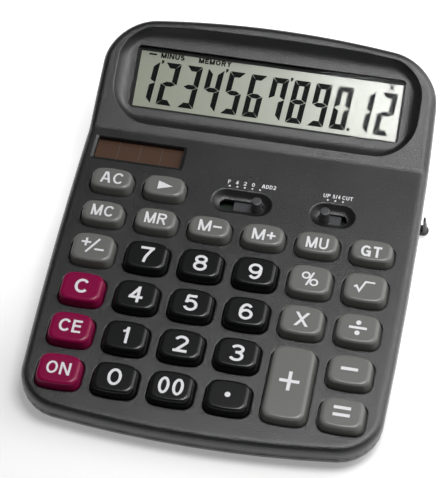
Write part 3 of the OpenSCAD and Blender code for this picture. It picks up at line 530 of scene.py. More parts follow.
# finishes: colour, roughness, grain size, mottle, spread of gloss, bump, plain values, wear's lift and polish
looks = dict(
    shellTop=(shellTone, 0.3, 2400, 0.8, 0.08, 0.5, level(0.75), 0.35, 0.08),
    shellBottom=(shellTone, 0.3, 2300, 0.6, 0.08, 0.4, level(0.75)),
    greyCap=((0.125, 0.126, 0.119), 0.34, 3200, 0.05, 0.06, 0.06, level(0.45), 0.1, 0.05),
    magentaCap=((0.19, 0.002, 0.042), 0.3, 3200, 0.05, 0.06, 0.06, level(0.25), 0.12, 0.05),
    blackCap=((0.005, 0.0053, 0.0055), 0.28, 3200, 0.08, 0.06, 0.06, level(0.36), 0.5, 0.05),
    whiteInk=((0.65, 0.65, 0.67), 0.5, 4000, 0.03, 0.05, 0.05),
    # black trim of the display frame; the same finish is painted shade on the solar recess's inner walls
    blackTrim=((0.006, 0.006, 0.006), 0.6, 2400, 0.2, 0.08, 0.2, level(0.3)),
    lcdGlass=((0.288, 0.305, 0.24), 0.25, 900, 0.015, 0.02, 0.0, {"IOR": 1.82}),
    lcdSegment=((0.004, 0.0045, 0.0045), 0.5, 900, 0.1, 0.02, 0.0, level(0.05)),
    foil=((0.7, 0.71, 0.69), 0.34, 500, 0.06, 0.1, 0.08, metal),
    amberFilm=((0.45, 0.2, 0.04), 0.24, 800, 0.1, 0.06, 0.05),
    solarFilm=((0.07, 0.039, 0.026), 0.22, 1200, 0.1, 0.05, 0.02),
    solarLine=((0.08, 0.06, 0.05), 0.35, 1500, 0.1, 0.05, 0.02),
    wireSleeve=((0.35, 0.02, 0.015), 0.42, 1500, 0.08, 0.06, 0.05),
    silicone=((0.3, 0.31, 0.31), 0.62, 1800, 0.08, 0.06, 0.12),
    greenBoard=((0.004, 0.012, 0.006), 0.5, 900, 0.25, 0.08, 0.06),
    epoxyDrop=((0.008, 0.008, 0.008), 0.16, 700, 0.1, 0.05, 0.04),
    canSleeve=((0.02, 0.03, 0.1), 0.34, 1000, 0.08, 0.05, 0.04),
    switchPlastic=((0.058, 0.059, 0.063), 0.32, 2400, 0.15, 0.06, 0.12, (), 0.4, 0.06),
    brassStrip=((0.6, 0.42, 0.12), 0.28, 1600, 0.08, 0.08, 0.05, metal),
    cellSteel=((0.6, 0.6, 0.61), 0.24, 1800, 0.05, 0.08, 0.04, metal),
    springSteel=((0.5, 0.5, 0.51), 0.3, 1800, 0.06, 0.08, 0.05, metal),
    standPlastic=((0.02, 0.021, 0.023), 0.45, 2400, 0.2, 0.08, 0.22, level(0.4)),
    footRubber=((0.015, 0.015, 0.015), 0.75, 1500, 0.2, 0.08, 0.3, level(0.3)),
)
looks = {name: finish(name, *spec) for name, spec in looks.items()}
clear = dict(tint=(0.97, 0.98, 0.975, 1.0), ior=1.12, smear=60.0, smearDetail=3.0, haze=0.05)


# clear sheet: glass for the eye, and open to shadow rays and reflected ones so that what lies under it is lit
def clearSheet(name):
    material, tree, shader = newMaterial(name)
    place = tree.nodes.new("ShaderNodeTexCoord").outputs["Object"]
    smear = noiseNode(tree, place, clear["smear"], clear["smearDetail"])
    glass = {"Base Color": clear["tint"], "Transmission Weight": 1.0, "IOR": clear["ior"]}
    feed(shader, {**glass, "Roughness": mathNode(tree, "MULTIPLY", smear, clear["haze"])})
    path = tree.nodes.new("ShaderNodeLightPath").outputs
    unseen = mathNode(tree, "MAXIMUM", path["Is Shadow Ray"], path["Is Diffuse Ray"])
    unseen = mathNode(tree, "MAXIMUM", unseen, path["Is Glossy Ray"])
    seeThrough = tree.nodes.new("ShaderNodeBsdfTransparent")
    pick = tree.nodes.new("ShaderNodeMixShader")
    feed(pick, {"Fac": unseen, 1: shader.outputs["BSDF"], 2: seeThrough.outputs["BSDF"]})
    feed(tree.nodes["Material Output"], dict(Surface=pick.outputs["Shader"]))
    return material


looks["clearWindow"] = clearSheet("clearWindow")
print("finishes:", len(looks))

# Keys: sizes, then each row from the rear with its names from the left; a point is an empty place
key = dict(
    width=18.7, depth=15.1, shortDepth=11.8, height=4.4, lean=0.6, cornerR=3.0, bow=1.0, gap=0.4, edgeR=1.1,
    flangeW=0.9, flangeT=1.0, flangeDepth=2.4, plungerR=2.4, plungerEdge=0.3, plungerRoot=0.4,
    plungerFoot=4.2, pitchX=23.3, sideLean=1.45, midColumn=2.5, deepRows=4, domeR=4.0, domeTopR=2.4,
    domeTop=4.4, skin=0.7, topRim=0.35, rowY=(19.4, 39.7, 60.0, 80.3, 99.3, 117.1),
)
keyRows = [
    (5, "ac arrow"),
    (4, "mc mr m_minus m_plus mu gt"),
    (3, "sign 7 8 9 percent root"),
    (2, "c 4 5 6 times divide"),
    (1, "ce 1 2 3 . minus"),
    (0, "on 0 00 dot . equals"),
]
blackKeys = "7 8 9 4 5 6 1 2 3 0 00 dot".split()
magentaKeys = "c ce on".split()


def columnX(column):
    return (column - key["midColumn"]) * key["pitchX"]


keys = {}
for row, names in keyRows:
    for column, label in enumerate(names.split()):
        if label != ".":
            depth = key["depth"] if row < key["deepRows"] else key["shortDepth"]
            keys[label] = dict(x=columnX(column), y=key["rowY"][row], depth=depth, plungers=[0.0])
rowStep = key["rowY"][1] - key["rowY"][0]
keys["plus"] = dict(
    x=columnX(4), y=key["rowY"][0] + rowStep / 2, depth=key["depth"] + rowStep,
    plungers=[-rowStep / 2, rowStep / 2],
)

window = dict(
    width=121.0, depth=29.0, at=26.0, cornerR=2.0, margin=7.6, rearMargin=9.8, scoopR=18.0, scoopBow=2.0,
    dish=3.6, power=3.2, rim=0.25, shelf=1.5, ledge=1.0, lap=2.4, viewW=118.6, viewD=26.0, frameFront=6.5,
    glassFront=7.3, glassT=2.4, glassLap=2.2, glassR=0.6, edge=0.1,
)
lensFront = window["dish"] + window["shelf"]
solar = dict(
    width=38.6, depth=11.4, inset=6.4, back=5.0, lap=1.6, thick=1.8, bevel=1.6, bevelDrop=0.5,
    rearShare=0.15, cornerR=0.5, cover=0.9, cells=4, line=0.28, lineSink=0.05, lineLift=0.01, slabR=0.4,
    slabEdge=0.08,
)
solarX = -halfW + solar["inset"] + solar["width"] / 2
solarY = panelLen - solar["back"] - solar["depth"] / 2
switch = dict(
    y=117.1, knobR=2.4, knobH=2.6, knobEdge=0.6, taper=0.2, gap=0.3, slotEnd=0.4, margin=3.4, dish=3.0,
    floor=1.2, carriageT=1.4, carriageDepth=4.3, carriageR=1.0, carriageEdge=0.25,
)
slotR = switch["knobR"] + switch["gap"]
switches = dict(
    decimal=dict(x=-1.1, travel=13.3, rest=1, carriage=20.8, stops=5),
    rounding=dict(x=38.6, travel=6.6, rest=-1, carriage=14.0, stops=3),
)


def slotLoop(spec, margin):
    length = spec["travel"] + 2 * (slotR + switch["slotEnd"])
    return softRect(length + 2 * margin, 2 * (slotR + margin), slotR + margin, corner=9, edge=8)


# the scoop reaches further back than forward; its corner radius and its rear bow grow with the margin
def scoopLoop(m):
    share = m / window["margin"]
    half, back = window["width"] / 2 + m, window["rearMargin"] * share
    depth = window["depth"] + m + back
    r = window["cornerR"] + (window["scoopR"] - window["cornerR"]) * share
    x, y = softRect(2 * half, depth, r, corner=12, edge=30).T
    sag = 2 * window["scoopBow"] * share * (x / half) ** 2 * np.maximum(y, 0) / depth
    return np.stack([x, y + (back - m) / 2 - sag], -1)


# quarter round from a flat into a hole: (offset from the hole's edge, height)
def fillet(r, steps=4):
    a = np.radians(np.linspace(0, 90, steps + 1))
    return np.stack([r * (1 - np.sin(a)), -r * (1 - np.cos(a))], -1)


# Top case: a rim profile carried round the outline, flats between the holes, and a profile round each hole
def topCase():
    wall, guard, edgeR, inner = case["wall"], case["guard"], case["edgeR"], case["wall"] + case["innerR"]
    seam, chamfer = case["seam"], case["seamChamfer"]
    rimRows = np.concatenate([
        [[edgeR + guard, 0.0]],
        fillet(edgeR, 9) * [1, -1],
        [[0.0, seam - chamfer], [chamfer, seam], [wall, seam]],
        [[wall, inner], [inner, wall], [inner + guard, wall]],
    ])
    rimWear = np.zeros(len(rimRows))
    rimWear[3:8] = [0.5, 0.9, 1.0, 0.8, 0.4]
    patches = [loft([bend(caseOutline(e), d) for e, d in rimRows], 0, rimWear)]
    topHoles, innerHoles = [], []
    holeGuard, holeR, lip = 0.35, 0.5, 0.4

    def flat(shape):
        return shape

    # rows of (offset out from the hole's edge, height), with short steps that hold the shading at edges
    def cutHole(loopAt, rows, place=flat, flatten=flat):
        patches.append(loft([place(atHeight(loopAt(m), z)) for m, z in rows]))
        topHoles.append(flatten(loopAt(rows[0][0])))
        innerHoles.append(flatten(loopAt(rows[-1][0])))

    for spec in keys.values():
        x, y, depth, gap = spec["x"], spec["y"], spec["depth"], key["gap"]

        def keyHole(m):
            side = 2 * (gap + m)
            return softRect(key["width"] + side, depth + side, key["cornerR"] + gap + m, key["bow"]) + [x, y]

        rows = [(holeR + holeGuard, 0.0), *fillet(holeR), (0.0, -wall + 0.2), (0.0, -wall), (0.5, -wall)]
        cutHole(keyHole, rows)

    def solarHole(m):
        back = m * solar["rearShare"]
        loop = softRect(solar["width"] + 2 * m, solar["depth"] + m + back, solar["cornerR"] + back)
        return loop + [solarX, solarY + (back - m) / 2]

    bevel, drop = solar["bevel"], solar["bevelDrop"]
    u = np.linspace(0, 1, 9)
    dished = np.stack([bevel * (1 - u), -drop * (1 - np.cos(u * np.pi)) / 2], -1)
    cutHole(solarHole, [(bevel + holeGuard, 0.0), *dished, (0.0, -drop - 0.1)])
    # painted shade: the solar recess's inner walls take the black trim finish, so the shade in the recess is
    # painted black onto them
    black = [(0.0, -drop - 0.1), (0.0, -wall + 0.1), (0.0, -wall), (lip, -wall)]
    patches.append(loft([atHeight(solarHole(m), z) for m, z in black], 1))
    innerHoles[-1] = solarHole(black[-1][0])

    margin, dish, floor = switch["margin"], switch["dish"], switch["dish"] + switch["floor"]
    u = np.linspace(0.1, 1, 10)
    bowl = np.stack([margin * (1 - u), -dish * np.sin(u * np.pi / 2)], -1)
    outer = margin + wall / 2
    rows = [(margin + 0.6, 0.0), (margin + 0.25, 0.0), (margin - 0.02, -0.1), *bowl, (0.0, -dish - 0.3)]
    rows += [(0.0, -floor), (outer, -floor), (outer, -wall), (outer + lip, -wall)]
    for spec in switches.values():
        at = [spec["x"], switch["y"]]
        cutHole(lambda m: slotLoop(spec, m) + at, rows)

    margin, rim, outer = window["margin"], window["rim"], window["margin"] + window["ledge"]
    share = np.linspace(0.94, 0, 16)
    bowl = np.stack([margin * share, -window["dish"] * (1 - share ** window["power"])], -1)
    rows = [(margin + rim + 0.2, 0.0), (margin + rim, 0.0), (margin + 0.08, -0.06), (margin - 0.15, -0.22)]
    rows += [*bowl, (0.0, -window["dish"] - 0.25), (0.0, -lensFront), (outer, -lensFront), (outer, -wall)]
    rows += [(outer + 0.2, -wall)]
    cutHole(lambda m: scoopLoop(m) + [0, window["at"]], rows, onHead, lambda loop: loop + [0, panelLen])

    across = (halfW - case["creaseInset"]) * np.linspace(-1, 1, 41)
    creaseRows = panelLen + creaseT * np.linspace(-1, 1, 9)
    lines = [np.stack([across, np.full_like(across, s)], -1) for s in creaseRows]
    for e, d, holes in ((edgeR + guard, 0.0, topHoles), (inner + guard, wall, innerHoles)):
        points, triangles = flatArea(caseOutline(e), holes, lines)
        patches.append((bend(points, d), triangles, 0, np.zeros(len(points))))
    makePiece("topShell", patches, "case", "shellTop blackTrim", ["top_case"], sharp=50)


topCase()
print("top shell made")

# Legends, in each key's own plane: height, width and stroke of the lettered ones, and shapes for the rest
legend = dict(
    lift=0.035, sink=0.08, digit=(7.9, 5.85, 1.23), wide={"00": 10.5, "1": 2.5}, word=(5.6, 9.4, 0.86),
    bar=1.42, thin=0.94, sag=0.16,
)
letters = dict(
    ac=("AC", 5.8, 9.6, 0.88, 0.15, -0.1), mc=("MC", *legend["word"]), mr=("MR", *legend["word"]),
    mu=("MU", *legend["word"], 0.0, -0.5), gt=("GT", 5.5, 8.7, 1.04, -0.2, -0.8),
    ce=("CE", 6.1, 9.5, 1.02, 0.0, 0.3), on=("ON", 5.9, 10.0, 0.92), c=("C", 7.0, 5.6, 1.2),
    times=("X", 6.7, 5.9, 1.22), percent=("%", 6.7, 7.4, 0.76),
)


def digitLegend(label):  # the print of the digits sinks a little towards the right
    h, w, t = legend["digit"]
    sunk = legend["sag"] * (keys[label]["x"] / key["pitchX"] + 2)
    return lettering(label, h, legend["wide"].get(label, w), t, 0.1, -sunk)


def legendPatch(label):
    bar, thin = legend["bar"], legend["thin"]
    shapes = dict(
        arrow=[np.array([[-2.7, -2.4], [3.8, -0.2], [-2.7, 2.0]])],
        sign=[
            strokeLine([[-2.4, -3.2], [2.4, 4.1]], thin), barShape(-3.1, 1.9, 4.1, thin),
            barShape(-3.1, 1.9, thin, 4.1), barShape(3.1, -1.3, 4.1, thin),
        ],
        root=[strokeLine([[-4.7, -0.4], [-3.7, 0.2], [-2.3, -2.3], [-0.2, 2.5], [3.8, 2.5]], 0.82)],
        divide=[barShape(0, 0, 7.4, 1.15), discShape(0, 2.5, 1.08), discShape(0, -2.5, 1.08)],
        minus=[barShape(-0.3, 0.2, 7.0, bar)],
        equals=[barShape(-0.3, 2.15, 7.0, bar), barShape(-0.3, -1.15, 7.0, bar)],
        dot=[discShape(0, 0, 1.2)],
        plus=[barShape(0, 0.45, 8.2, bar), barShape(0, 0.45, bar, 9.0)],
        m_minus=[barShape(3.55, 0.1, 3.7, thin)],
        m_plus=[barShape(3.55, -0.3, 3.7, thin), barShape(3.55, -0.3, thin, 3.7)],
    )
    drawn = [[loop] for loop in shapes.get(label, [])]
    if label in ("m_minus", "m_plus"):
        drawn += lettering("M", legend["word"][0], 5.3, 0.9, -1.9, 0.1 if label == "m_minus" else -0.3)
    if not drawn:
        drawn = lettering(*letters[label]) if label in letters else digitLegend(label)
    return inkSlab(drawn, key["height"] - legend["sink"], key["height"] + legend["lift"], 1)


# a key: rings from the flange up the leaning wall and over the rounded edge, closed at both middles
def keyCap(label, spec):
    h, r, lean = key["height"], key["edgeR"], key["lean"]
    under, flange = key["flangeDepth"] + key["flangeT"], key["flangeW"]
    a = np.radians(np.linspace(0, 90, 8))
    rise = h - r
    wallIn = lean * rise / h
    edge = np.stack([wallIn + r * (1 - np.cos(a)) + (lean - wallIn) * np.sin(a), rise + r * np.sin(a)], -1)
    rows = [(-flange, -under), (-flange, -key["flangeDepth"]), (0.0, -key["flangeDepth"]), (0.0, 0.0)]
    rows += [(wallIn * 0.5, rise * 0.5), *edge, (edge[-1, 0] + key["topRim"], h)]
    wear = [0, 0, 0, 0, 0.1, 0.4, 0.7, 1, 1, 1, 0.8, 0.5, 0.2, 0]

    def ring(m):
        corner = key["cornerR"] - max(m - lean, 0) * 0.5 + max(-m, 0)
        side = m * key["sideLean"] if m > 0 else m
        return softRect(key["width"] - 2 * side, spec["depth"] - 2 * m, corner, key["bow"])

    rings = [atHeight(ring(m), z) for m, z in rows]
    top = rings[-1]
    rings = [rings[0] * [0, 0, 1], rings[0] * [0.5, 0.5, 1]] + rings
    rings += [top * [share, share, 1] for share in (0.7, 0.35, 0.0)]
    patches = [loft(rings, 0, [0, 0] + wear[:len(rows)] + [0, 0, 0])]
    foot, pr, pe, root = -key["plungerFoot"], key["plungerR"], key["plungerEdge"], key["plungerRoot"] - under
    profile = [(0, foot), (pr - pe, foot), (pr, foot + pe), (pr, root), (0, root)]
    patches += [lathe(profile, 0, y) for y in spec["plungers"]]
    patches.append(legendPatch(label))
    tone = "black" if label in blackKeys else "magenta" if label in magentaKeys else "grey"
    patches = [moved(p, spec["x"], spec["y"]) for p in patches]
    finishes = tone + "Cap whiteInk"
    makePiece("keyCap_" + label, patches, "button_" + label, finishes, ["key_" + label])


for label, spec in keys.items():
    keyCap(label, spec)
print("keys made:", len(keys))

# Rubber mat: a sheet with a hole under each dome, and a dome for each plunger
mat = dict(
    sheet=6.8, foot=7.6, edge=2.0, corner=9.0, lap=4.0, front=12.8, half=68.25, rearTrim=2.4, domeLap=0.05,
    domeEdge=0.3, screwR=2.4, screwX=(-46.6, 0.0, 46.6), screwRows=(1, 3),
)
betweenRows = [(key["rowY"][r] + key["rowY"][r + 1]) / 2 for r in mat["screwRows"]]
boardScrews = [(x, y) for x in mat["screwX"] for y in betweenRows]


def keyMat():
    wide, rear = mat["half"] - mat["edge"], key["rowY"][4] + key["domeR"] + mat["lap"]
    step = columnX(1) + key["domeR"] + mat["lap"]
    last = switch["y"] + slotR + switch["margin"] - mat["rearTrim"]
    low, corner = mat["front"], mat["corner"]
    outline = np.array([
        [-wide + corner, low], [wide - corner, low], [wide, low + corner], [wide, rear], [step, rear],
        [step, last], [-wide, last], [-wide, low + corner],
    ])
    domes = [(label, spec["x"], spec["y"] + y) for label, spec in keys.items() for y in spec["plungers"]]
    holes = [discShape(x, y, key["domeR"] - mat["domeLap"], 24) for name, x, y in domes]
    holes += [discShape(x, y, mat["screwR"], 16) for x, y in boardScrews]
    patches = []
    for z in (-mat["sheet"], -mat["foot"]):
        points, triangles = flatArea(outline, holes)
        patches.append((atHeight(points, z), triangles, 0, np.zeros(len(points))))
    shoulder, foot, top = -mat["sheet"], -mat["foot"], -key["domeTop"]
    patches += [loft([atHeight(loop, foot), atHeight(loop, shoulder)]) for loop in [outline] + holes]
    makePiece("matSheet", patches, "case", "silicone", ["key_mat"])
    r, topR, skin, edge = key["domeR"], key["domeTopR"], key["skin"], mat["domeEdge"]
    profile = [
        (0, top), (topR - edge, top), (topR, top - edge), (r - 0.5, shoulder + 0.1), (r, shoulder),
        (r, foot), (r - skin, foot), (r - skin - 0.4, shoulder), (topR - skin, top - skin), (0, top - skin),
    ]
    for i, (label, x, y) in enumerate(domes):
        name, patch = "matDome_%s_%d" % (label, i), lathe(profile, x, y, 24)
        dome = makePiece(name, [patch], "case", "silicone", ["key_mat"])
        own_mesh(dome)
    print("mat made:", len(domes), "domes")


keyMat()


# Slide switches: a round-edged knob turned about its axis on a soft-edged carriage
def slideSwitch(name, spec):
    x, y = spec["x"] + spec["rest"] * spec["travel"] / 2, switch["y"]
    top, low, r = -switch["carriageDepth"], -switch["carriageDepth"] - switch["carriageT"], switch["knobR"]
    root = top - switch["carriageT"] / 2
    a = np.radians(np.linspace(0, 90, 8))
    height, edge = switch["knobH"], switch["knobEdge"]
    crown = np.stack([r - switch["taper"] - edge * (1 - np.cos(a)), height - edge * (1 - np.sin(a))], -1)
    knob = lathe([(0, root), (r, root), (r, 0), *crown, (0, height)], x, y, 40)
    wide, soft = 2 * (slotR + switch["margin"]), switch["carriageEdge"]
    rows = [(soft, low), (0.0, low + soft), (0.0, top - soft), (soft, top)]
    loops = [softRect(spec["carriage"] - 2 * m, wide - 2 * m, switch["carriageR"]) for m, z in rows]
    carriage = closedLoft([atHeight(loop, z, x, y) for loop, (m, z) in zip(loops, rows)], x, y)
    body, nodes = name + "_switch", [name + "_slider"]
    makePiece(name + "Knob", [knob, carriage], body, "switchPlastic", nodes)


for name, spec in switches.items():
    slideSwitch(name, spec)

# Printed marks by the switches: a dot at each stop and its generic label
printMarks = dict(
    dotY=124.9, dotR=0.42, labelY=127.1, labelH=2.0, stroke=0.36, lift=0.03, sink=0.05,
    labels=(("F", 1.1, -8.3), ("4", 1.3, -4.8), ("2", 1.3, -1.3), ("0", 1.3, 2.3), ("ADD2", 6.2, 9.2),
            ("UP", 3.0, 34.6), ("5/4", 3.4, 38.8), ("CUT", 4.6, 43.6)),
)


def panelPrint():
    low, high = -printMarks["sink"], printMarks["lift"]
    shapes = []
    for spec in switches.values():
        for x in spec["x"] + spec["travel"] * np.linspace(-0.5, 0.5, spec["stops"]):
            shapes.append([discShape(x, printMarks["dotY"], printMarks["dotR"], 16)])
    for text, wide, x in printMarks["labels"]:
        shapes += lettering(text, printMarks["labelH"], wide, printMarks["stroke"], x, printMarks["labelY"])
    makePiece("panelPrint", [inkSlab(shapes, low, high)], "case", "whiteInk")


panelPrint()
print("switches and marks made")


# Display: a clear sheet in the window and the display glass with its segments behind it
def onWindow(points):
    return onDesk(onHead(np.asarray(points) + [0, window["at"], 0]))


def softSlab(w, d, r, low, high, edge):  # rounded rectangle between two heights, with drawn-in edges
    rows = [(edge, low), (0.0, low + edge), (0.0, high - edge), (edge, high)]
    rings = [atHeight(softRect(w - 2 * m, d - 2 * m, r - m), z) for m, z in rows]
    return closedLoft(rings)


def windowSheet():
    w, d = window["width"] + 2 * window["lap"], window["depth"] + 2 * window["lap"]
    sheet = softSlab(w, d, window["cornerR"], -window["frameFront"], -lensFront, window["edge"])
    nodes = ["display_window"]
    makePiece("windowSheet", [sheet], "case", "clearWindow", nodes, sharp=30, toDesk=onWindow)


windowSheet()

segment = dict(
    height=19.7, width=7.2, thick=2.45, flatT=2.5, midT=2.1, tip=0.4, gap=0.2, slant=0.085, pitch=9.79,
    first=-54.5, drop=-1.1, low=-7.32, high=-7.27, shown="123456789012", tick=1.3, tickX=0.7,
    tickAfter=(0, 3, 6), pointAfter=9, pointX=-0.6, pointY=0.7, pointR=0.75, wordH=2.4, wordY=11.7,
    stroke=0.6, words=(("MINUS", 10.8, -44.9), ("MEMORY", 14.8, -25.6)), dash=(-54.0, 3.5, 0.8),
    cross=dict(h=3.3, width=3.1, t=0.75, x=54.2, y=11.4),
)
digitSegments = {
    "0": "abcdef", "1": "bc", "2": "abged", "3": "abgcd", "4": "fgbc", "5": "afgcd", "6": "afgecd",
    "7": "fabc", "8": "abcdefg", "9": "abcfgd",
}


# seven segments, each a bar with pointed ends, sheared by the slant
def segmentShapes():
    w, h, t, g = segment["width"] / 2, segment["height"] / 2, segment["thick"], segment["gap"]
    inner = h - segment["flatT"]
    mid, tip = segment["midT"] / 2, segment["tip"]
    end, nick = g * 0.7, g * 0.2
    flatTop = np.array([[-w + g, h], [w - g, h], [w - t + nick, inner], [-w + t - nick, inner]])
    side = np.array([[w, h - g], [w, end], [w - tip, end], [w - t, mid + g], [w - t, inner - nick]])
    half = np.array([[-w + t, mid], [w - t, mid], [w - tip - g, 0]])
    bar = np.vstack([half, -half])
    shapes = flatTop, side, side * [1, -1], flatTop * [1, -1], -side, side * [-1, 1], bar
    return dict(zip("abcdefg", shapes))


def displayGlass():
    low, high, drop, half = segment["low"], segment["high"], segment["drop"], segment["height"] / 2
    front, lap = -window["glassFront"], 2 * window["glassLap"]
    w, d = window["viewW"] + lap, window["viewD"] + lap
    patches = [softSlab(w, d, window["glassR"], front - window["glassT"], front, window["edge"])]
    shapes = segmentShapes()
    lean = np.array([[1, 0], [segment["slant"], 1]])

    def digitX(k):
        return segment["first"] + k * segment["pitch"]

    for k, digit in enumerate(segment["shown"]):
        at = [digitX(k), drop]
        patches += [prism(shapes[s] @ lean + at, low, high, 1) for s in digitSegments[digit]]
    tick = np.array([[-0.45, 0.6], [0.45, 0.6], [0.3, -0.4], [-0.4, -0.8]]) * segment["tick"]
    for k in segment["tickAfter"]:
        patches.append(prism(tick + [digitX(k + 0.5) + segment["tickX"], drop + half], low, high, 1))
    x, y = digitX(segment["pointAfter"] + 0.5) + segment["pointX"], drop - half + segment["pointY"]
    patches.append(prism(discShape(x, y, segment["pointR"], 12), low, high, 1))
    x, wide, t = segment["dash"]
    small = [[barShape(x, segment["wordY"], wide, t)]]
    for word, wide, x in segment["words"]:
        small += lettering(word, segment["wordH"], wide, segment["stroke"], x, segment["wordY"])
    small += lettering("X", **segment["cross"])
    patches.append(inkSlab(small, low, high, 1))
    finishes = "lcdGlass lcdSegment"
    makePiece("displayGlass", patches, "case", finishes, ["lcd_panel"], sharp=30, toDesk=onWindow)


displayGlass()


# Solar cell: a slab that lies under its cover, with thin lines between its cells
def solarCell():
    w, d = solar["width"] + 2 * solar["lap"], solar["depth"] + 2 * solar["lap"]
    front, back = -case["wall"] - solar["cover"], -case["wall"] - solar["thick"]
    patches = [softSlab(w, d, solar["slabR"], back, front, solar["slabEdge"])]
    low, high = front - solar["lineSink"], front + solar["lineLift"]
    for k in range(1, solar["cells"]):
        x = solar["width"] * (k / solar["cells"] - 0.5)
        patches.append(prism(barShape(x, 0, solar["line"], solar["depth"]), low, high, 1))
    patches = [moved(p, solarX, solarY) for p in patches]
    makePiece("solarPlate", patches, "case", "solarFilm solarLine", ["solar_cell"], sharp=30)


solarCell()
print("display and solar cell made")

# Pieces that keep their CAD shape, with softened edges where they show
softened = [
    ("bottom_case", "bottomShell", "case", "case_bottom", "shellBottom", 0.0),
    ("tilt_stand", "standPlate", "stand", "stand_plastic", "standPlastic", 0.25),
    ("stand_pads", "standSleeves", "stand", "foot_rubber", "footRubber", 0.15),
    ("front_feet", "frontFeet", "case", "foot_rubber", "footRubber", 0.2),
    ("rear_feet", "rearFeet", "case", "foot_rubber", "footRubber", 0.3),
    ("battery_cover", "batteryLid", "battery_hatch", "case_bottom", "shellBottom", 0.2),
    ("lcd_frame", "displayFrame", "case", "black_trim", "blackTrim", 0.1),
]
for node, name, body, slot, look, bevel in softened:
    softenedNode(node, name, body, look, bevel)
carried = dict(
    lcd_reflector="foil", lcd_ribbon="amberFilm", solar_leads="wireSleeve", main_board="greenBoard",
    chip_cover="epoxyDrop", capacitor="canSleeve", decimal_contact="brassStrip",
    rounding_contact="brassStrip", button_cell="cellSteel", battery_contact_plus="springSteel",
    battery_contact_minus="springSteel", stand_pins="springSteel", case_screws="springSteel",
    board_screws="springSteel",
)
for node, look in carried.items():
    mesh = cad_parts[node].data
    mesh.materials.clear()
    mesh.materials.append(looks[look])
print("carried pieces finished")


# Studio, in metres: a white floor that keeps the shadow, glows more to the rear and ends in front; in
# reflections the surroundings are white at the rear horizon, dark in front and pale overhead and to the
# right; one softbox overhead and a wider one to the right and rear
studio = dict(
    floorTone=0.72, floorRough=0.9, floorFront=0.35, floorSize=6.0, frontGlow=0.28, rearGlow=0.65,
    glowSpan=(-0.07, 0.02), farGlow=0.7, farSpan=(-0.3, -0.18), worldFill=0.14, dark=0.02, pale=0.38,
    horizon=(0.04, 0.2), rear=(-0.3, 0.3), overhead=(0.82, 0.95), right=(0.35, 0.8),
    topBox=dict(place=(0.132, -0.062, 0.6), turn=(0.0, 0.0, 29.5), size=(0.3, 0.2), power=2.6),
    sideBox=dict(place=(0.45, 0.22, 0.42), turn=(0.0, 50.0, 26.0), size=(0.6, 0.6), power=2.8),
)
white = (1.0, 1.0, 1.0, 1.0)


def makeFloor():
    size, front = studio["floorSize"], -studio["floorFront"]
    mesh = bpy.data.meshes.new("floor")
    corners = [(-size, front, 0), (size, front, 0), (size, size, 0), (-size, size, 0)]
    mesh.from_pydata(corners, [], [(0, 1, 2, 3)])
    floor = newObject("floor", mesh)
    material, tree, shader = newMaterial("whiteFloor")
    tone = studio["floorTone"]
    feed(shader, {"Base Color": (tone, tone, tone, 1.0), "Roughness": studio["floorRough"], **level(0.0)})
    camera, seen = seenRays(tree)
    along = placeAxis(tree, "Object", "Y")
    near = rampNode(tree, along, *studio["glowSpan"], studio["frontGlow"], studio["rearGlow"])
    far = rampNode(tree, along, *studio["farSpan"], studio["farGlow"], 0.0)
    near, far = mathNode(tree, "MULTIPLY", seen, near), mathNode(tree, "MULTIPLY", camera, far)
    feed(shader, {"Emission Color": white, "Emission Strength": mathNode(tree, "ADD", near, far)})
    mesh.materials.append(material)


def seenRays(tree):  # 1 for camera rays; 1 for camera, glossy and transmission rays
    path = tree.nodes.new("ShaderNodeLightPath").outputs
    seen = mathNode(tree, "MAXIMUM", path["Is Camera Ray"], path["Is Glossy Ray"])
    return path["Is Camera Ray"], mathNode(tree, "MAXIMUM", seen, path["Is Transmission Ray"])


def placeAxis(tree, kind, axis):
    split = tree.nodes.new("ShaderNodeSeparateXYZ")
    feed(split, dict(Vector=tree.nodes.new("ShaderNodeTexCoord").outputs[kind]))
    return split.outputs[axis]


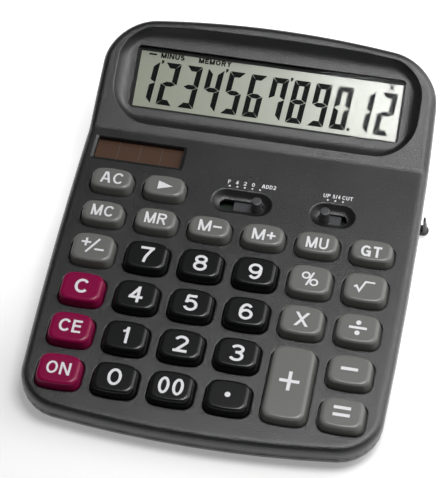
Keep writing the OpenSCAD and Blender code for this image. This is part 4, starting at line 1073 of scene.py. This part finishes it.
def rampNode(tree, value, low, high, atLow, atHigh):
    ramp = tree.nodes.new("ShaderNodeMapRange")
    feed(ramp, {"Value": value, "From Min": low, "From Max": high, "To Min": atLow, "To Max": atHigh})
    return ramp.outputs["Result"]


# white for the camera, the surroundings in reflections and a level fill for the rest
def makeWorld():
    world = bpy.data.worlds.new("surroundings")
    world.use_nodes = True
    scene.world = world
    tree = world.node_tree
    ground = tree.nodes["Background"]
    up = placeAxis(tree, "Generated", "Z")
    behind = rampNode(tree, placeAxis(tree, "Generated", "Y"), *studio["rear"], studio["dark"], 1.0)
    low = mathNode(tree, "MULTIPLY", rampNode(tree, up, *studio["horizon"], 1.0, studio["dark"]), behind)
    tones = studio["dark"], studio["pale"]
    above = rampNode(tree, up, *studio["overhead"], *tones)
    beside = rampNode(tree, placeAxis(tree, "Generated", "X"), *studio["right"], *tones)
    sky = mathNode(tree, "MAXIMUM", low, mathNode(tree, "MAXIMUM", above, beside))
    camera, seen = seenRays(tree)
    fill = studio["worldFill"]
    lift = mathNode(tree, "MULTIPLY", seen, mathNode(tree, "SUBTRACT", sky, fill))
    mirrored = mathNode(tree, "ADD", lift, fill)
    feed(ground, dict(Color=white, Strength=mathNode(tree, "MAXIMUM", camera, mirrored)))


def aim(obj, spec):
    obj.location = spec["place"]
    obj.rotation_euler = [math.radians(a) for a in spec["turn"]]


def makeLamps():
    for name in ("topBox", "sideBox"):
        spec = studio[name]
        box = bpy.data.lights.new(name, "AREA")
        box.shape = "RECTANGLE"
        box.size, box.size_y = spec["size"]
        box.energy = spec["power"]
        aim(newObject(name, box), spec)


# Camera: its place in metres and turn in degrees, and its focal length and image height in pixels
view = dict(
    place=(0.100759, -0.550502, 0.668577), turn=(40.7645, 0.0279, 11.0897), focal=2000.0, tall=478.0,
    sensor=36.0, nearest=0.01,
)


def makeCamera():
    data = bpy.data.cameras.new("photoCamera")
    data.sensor_width = view["sensor"]
    data.lens = view["focal"] / view["tall"] * data.sensor_width
    data.clip_start = view["nearest"]
    scene.camera = newObject("photoCamera", data)
    aim(scene.camera, view)


makeFloor()
makeWorld()
makeLamps()
makeCamera()
print("studio made")
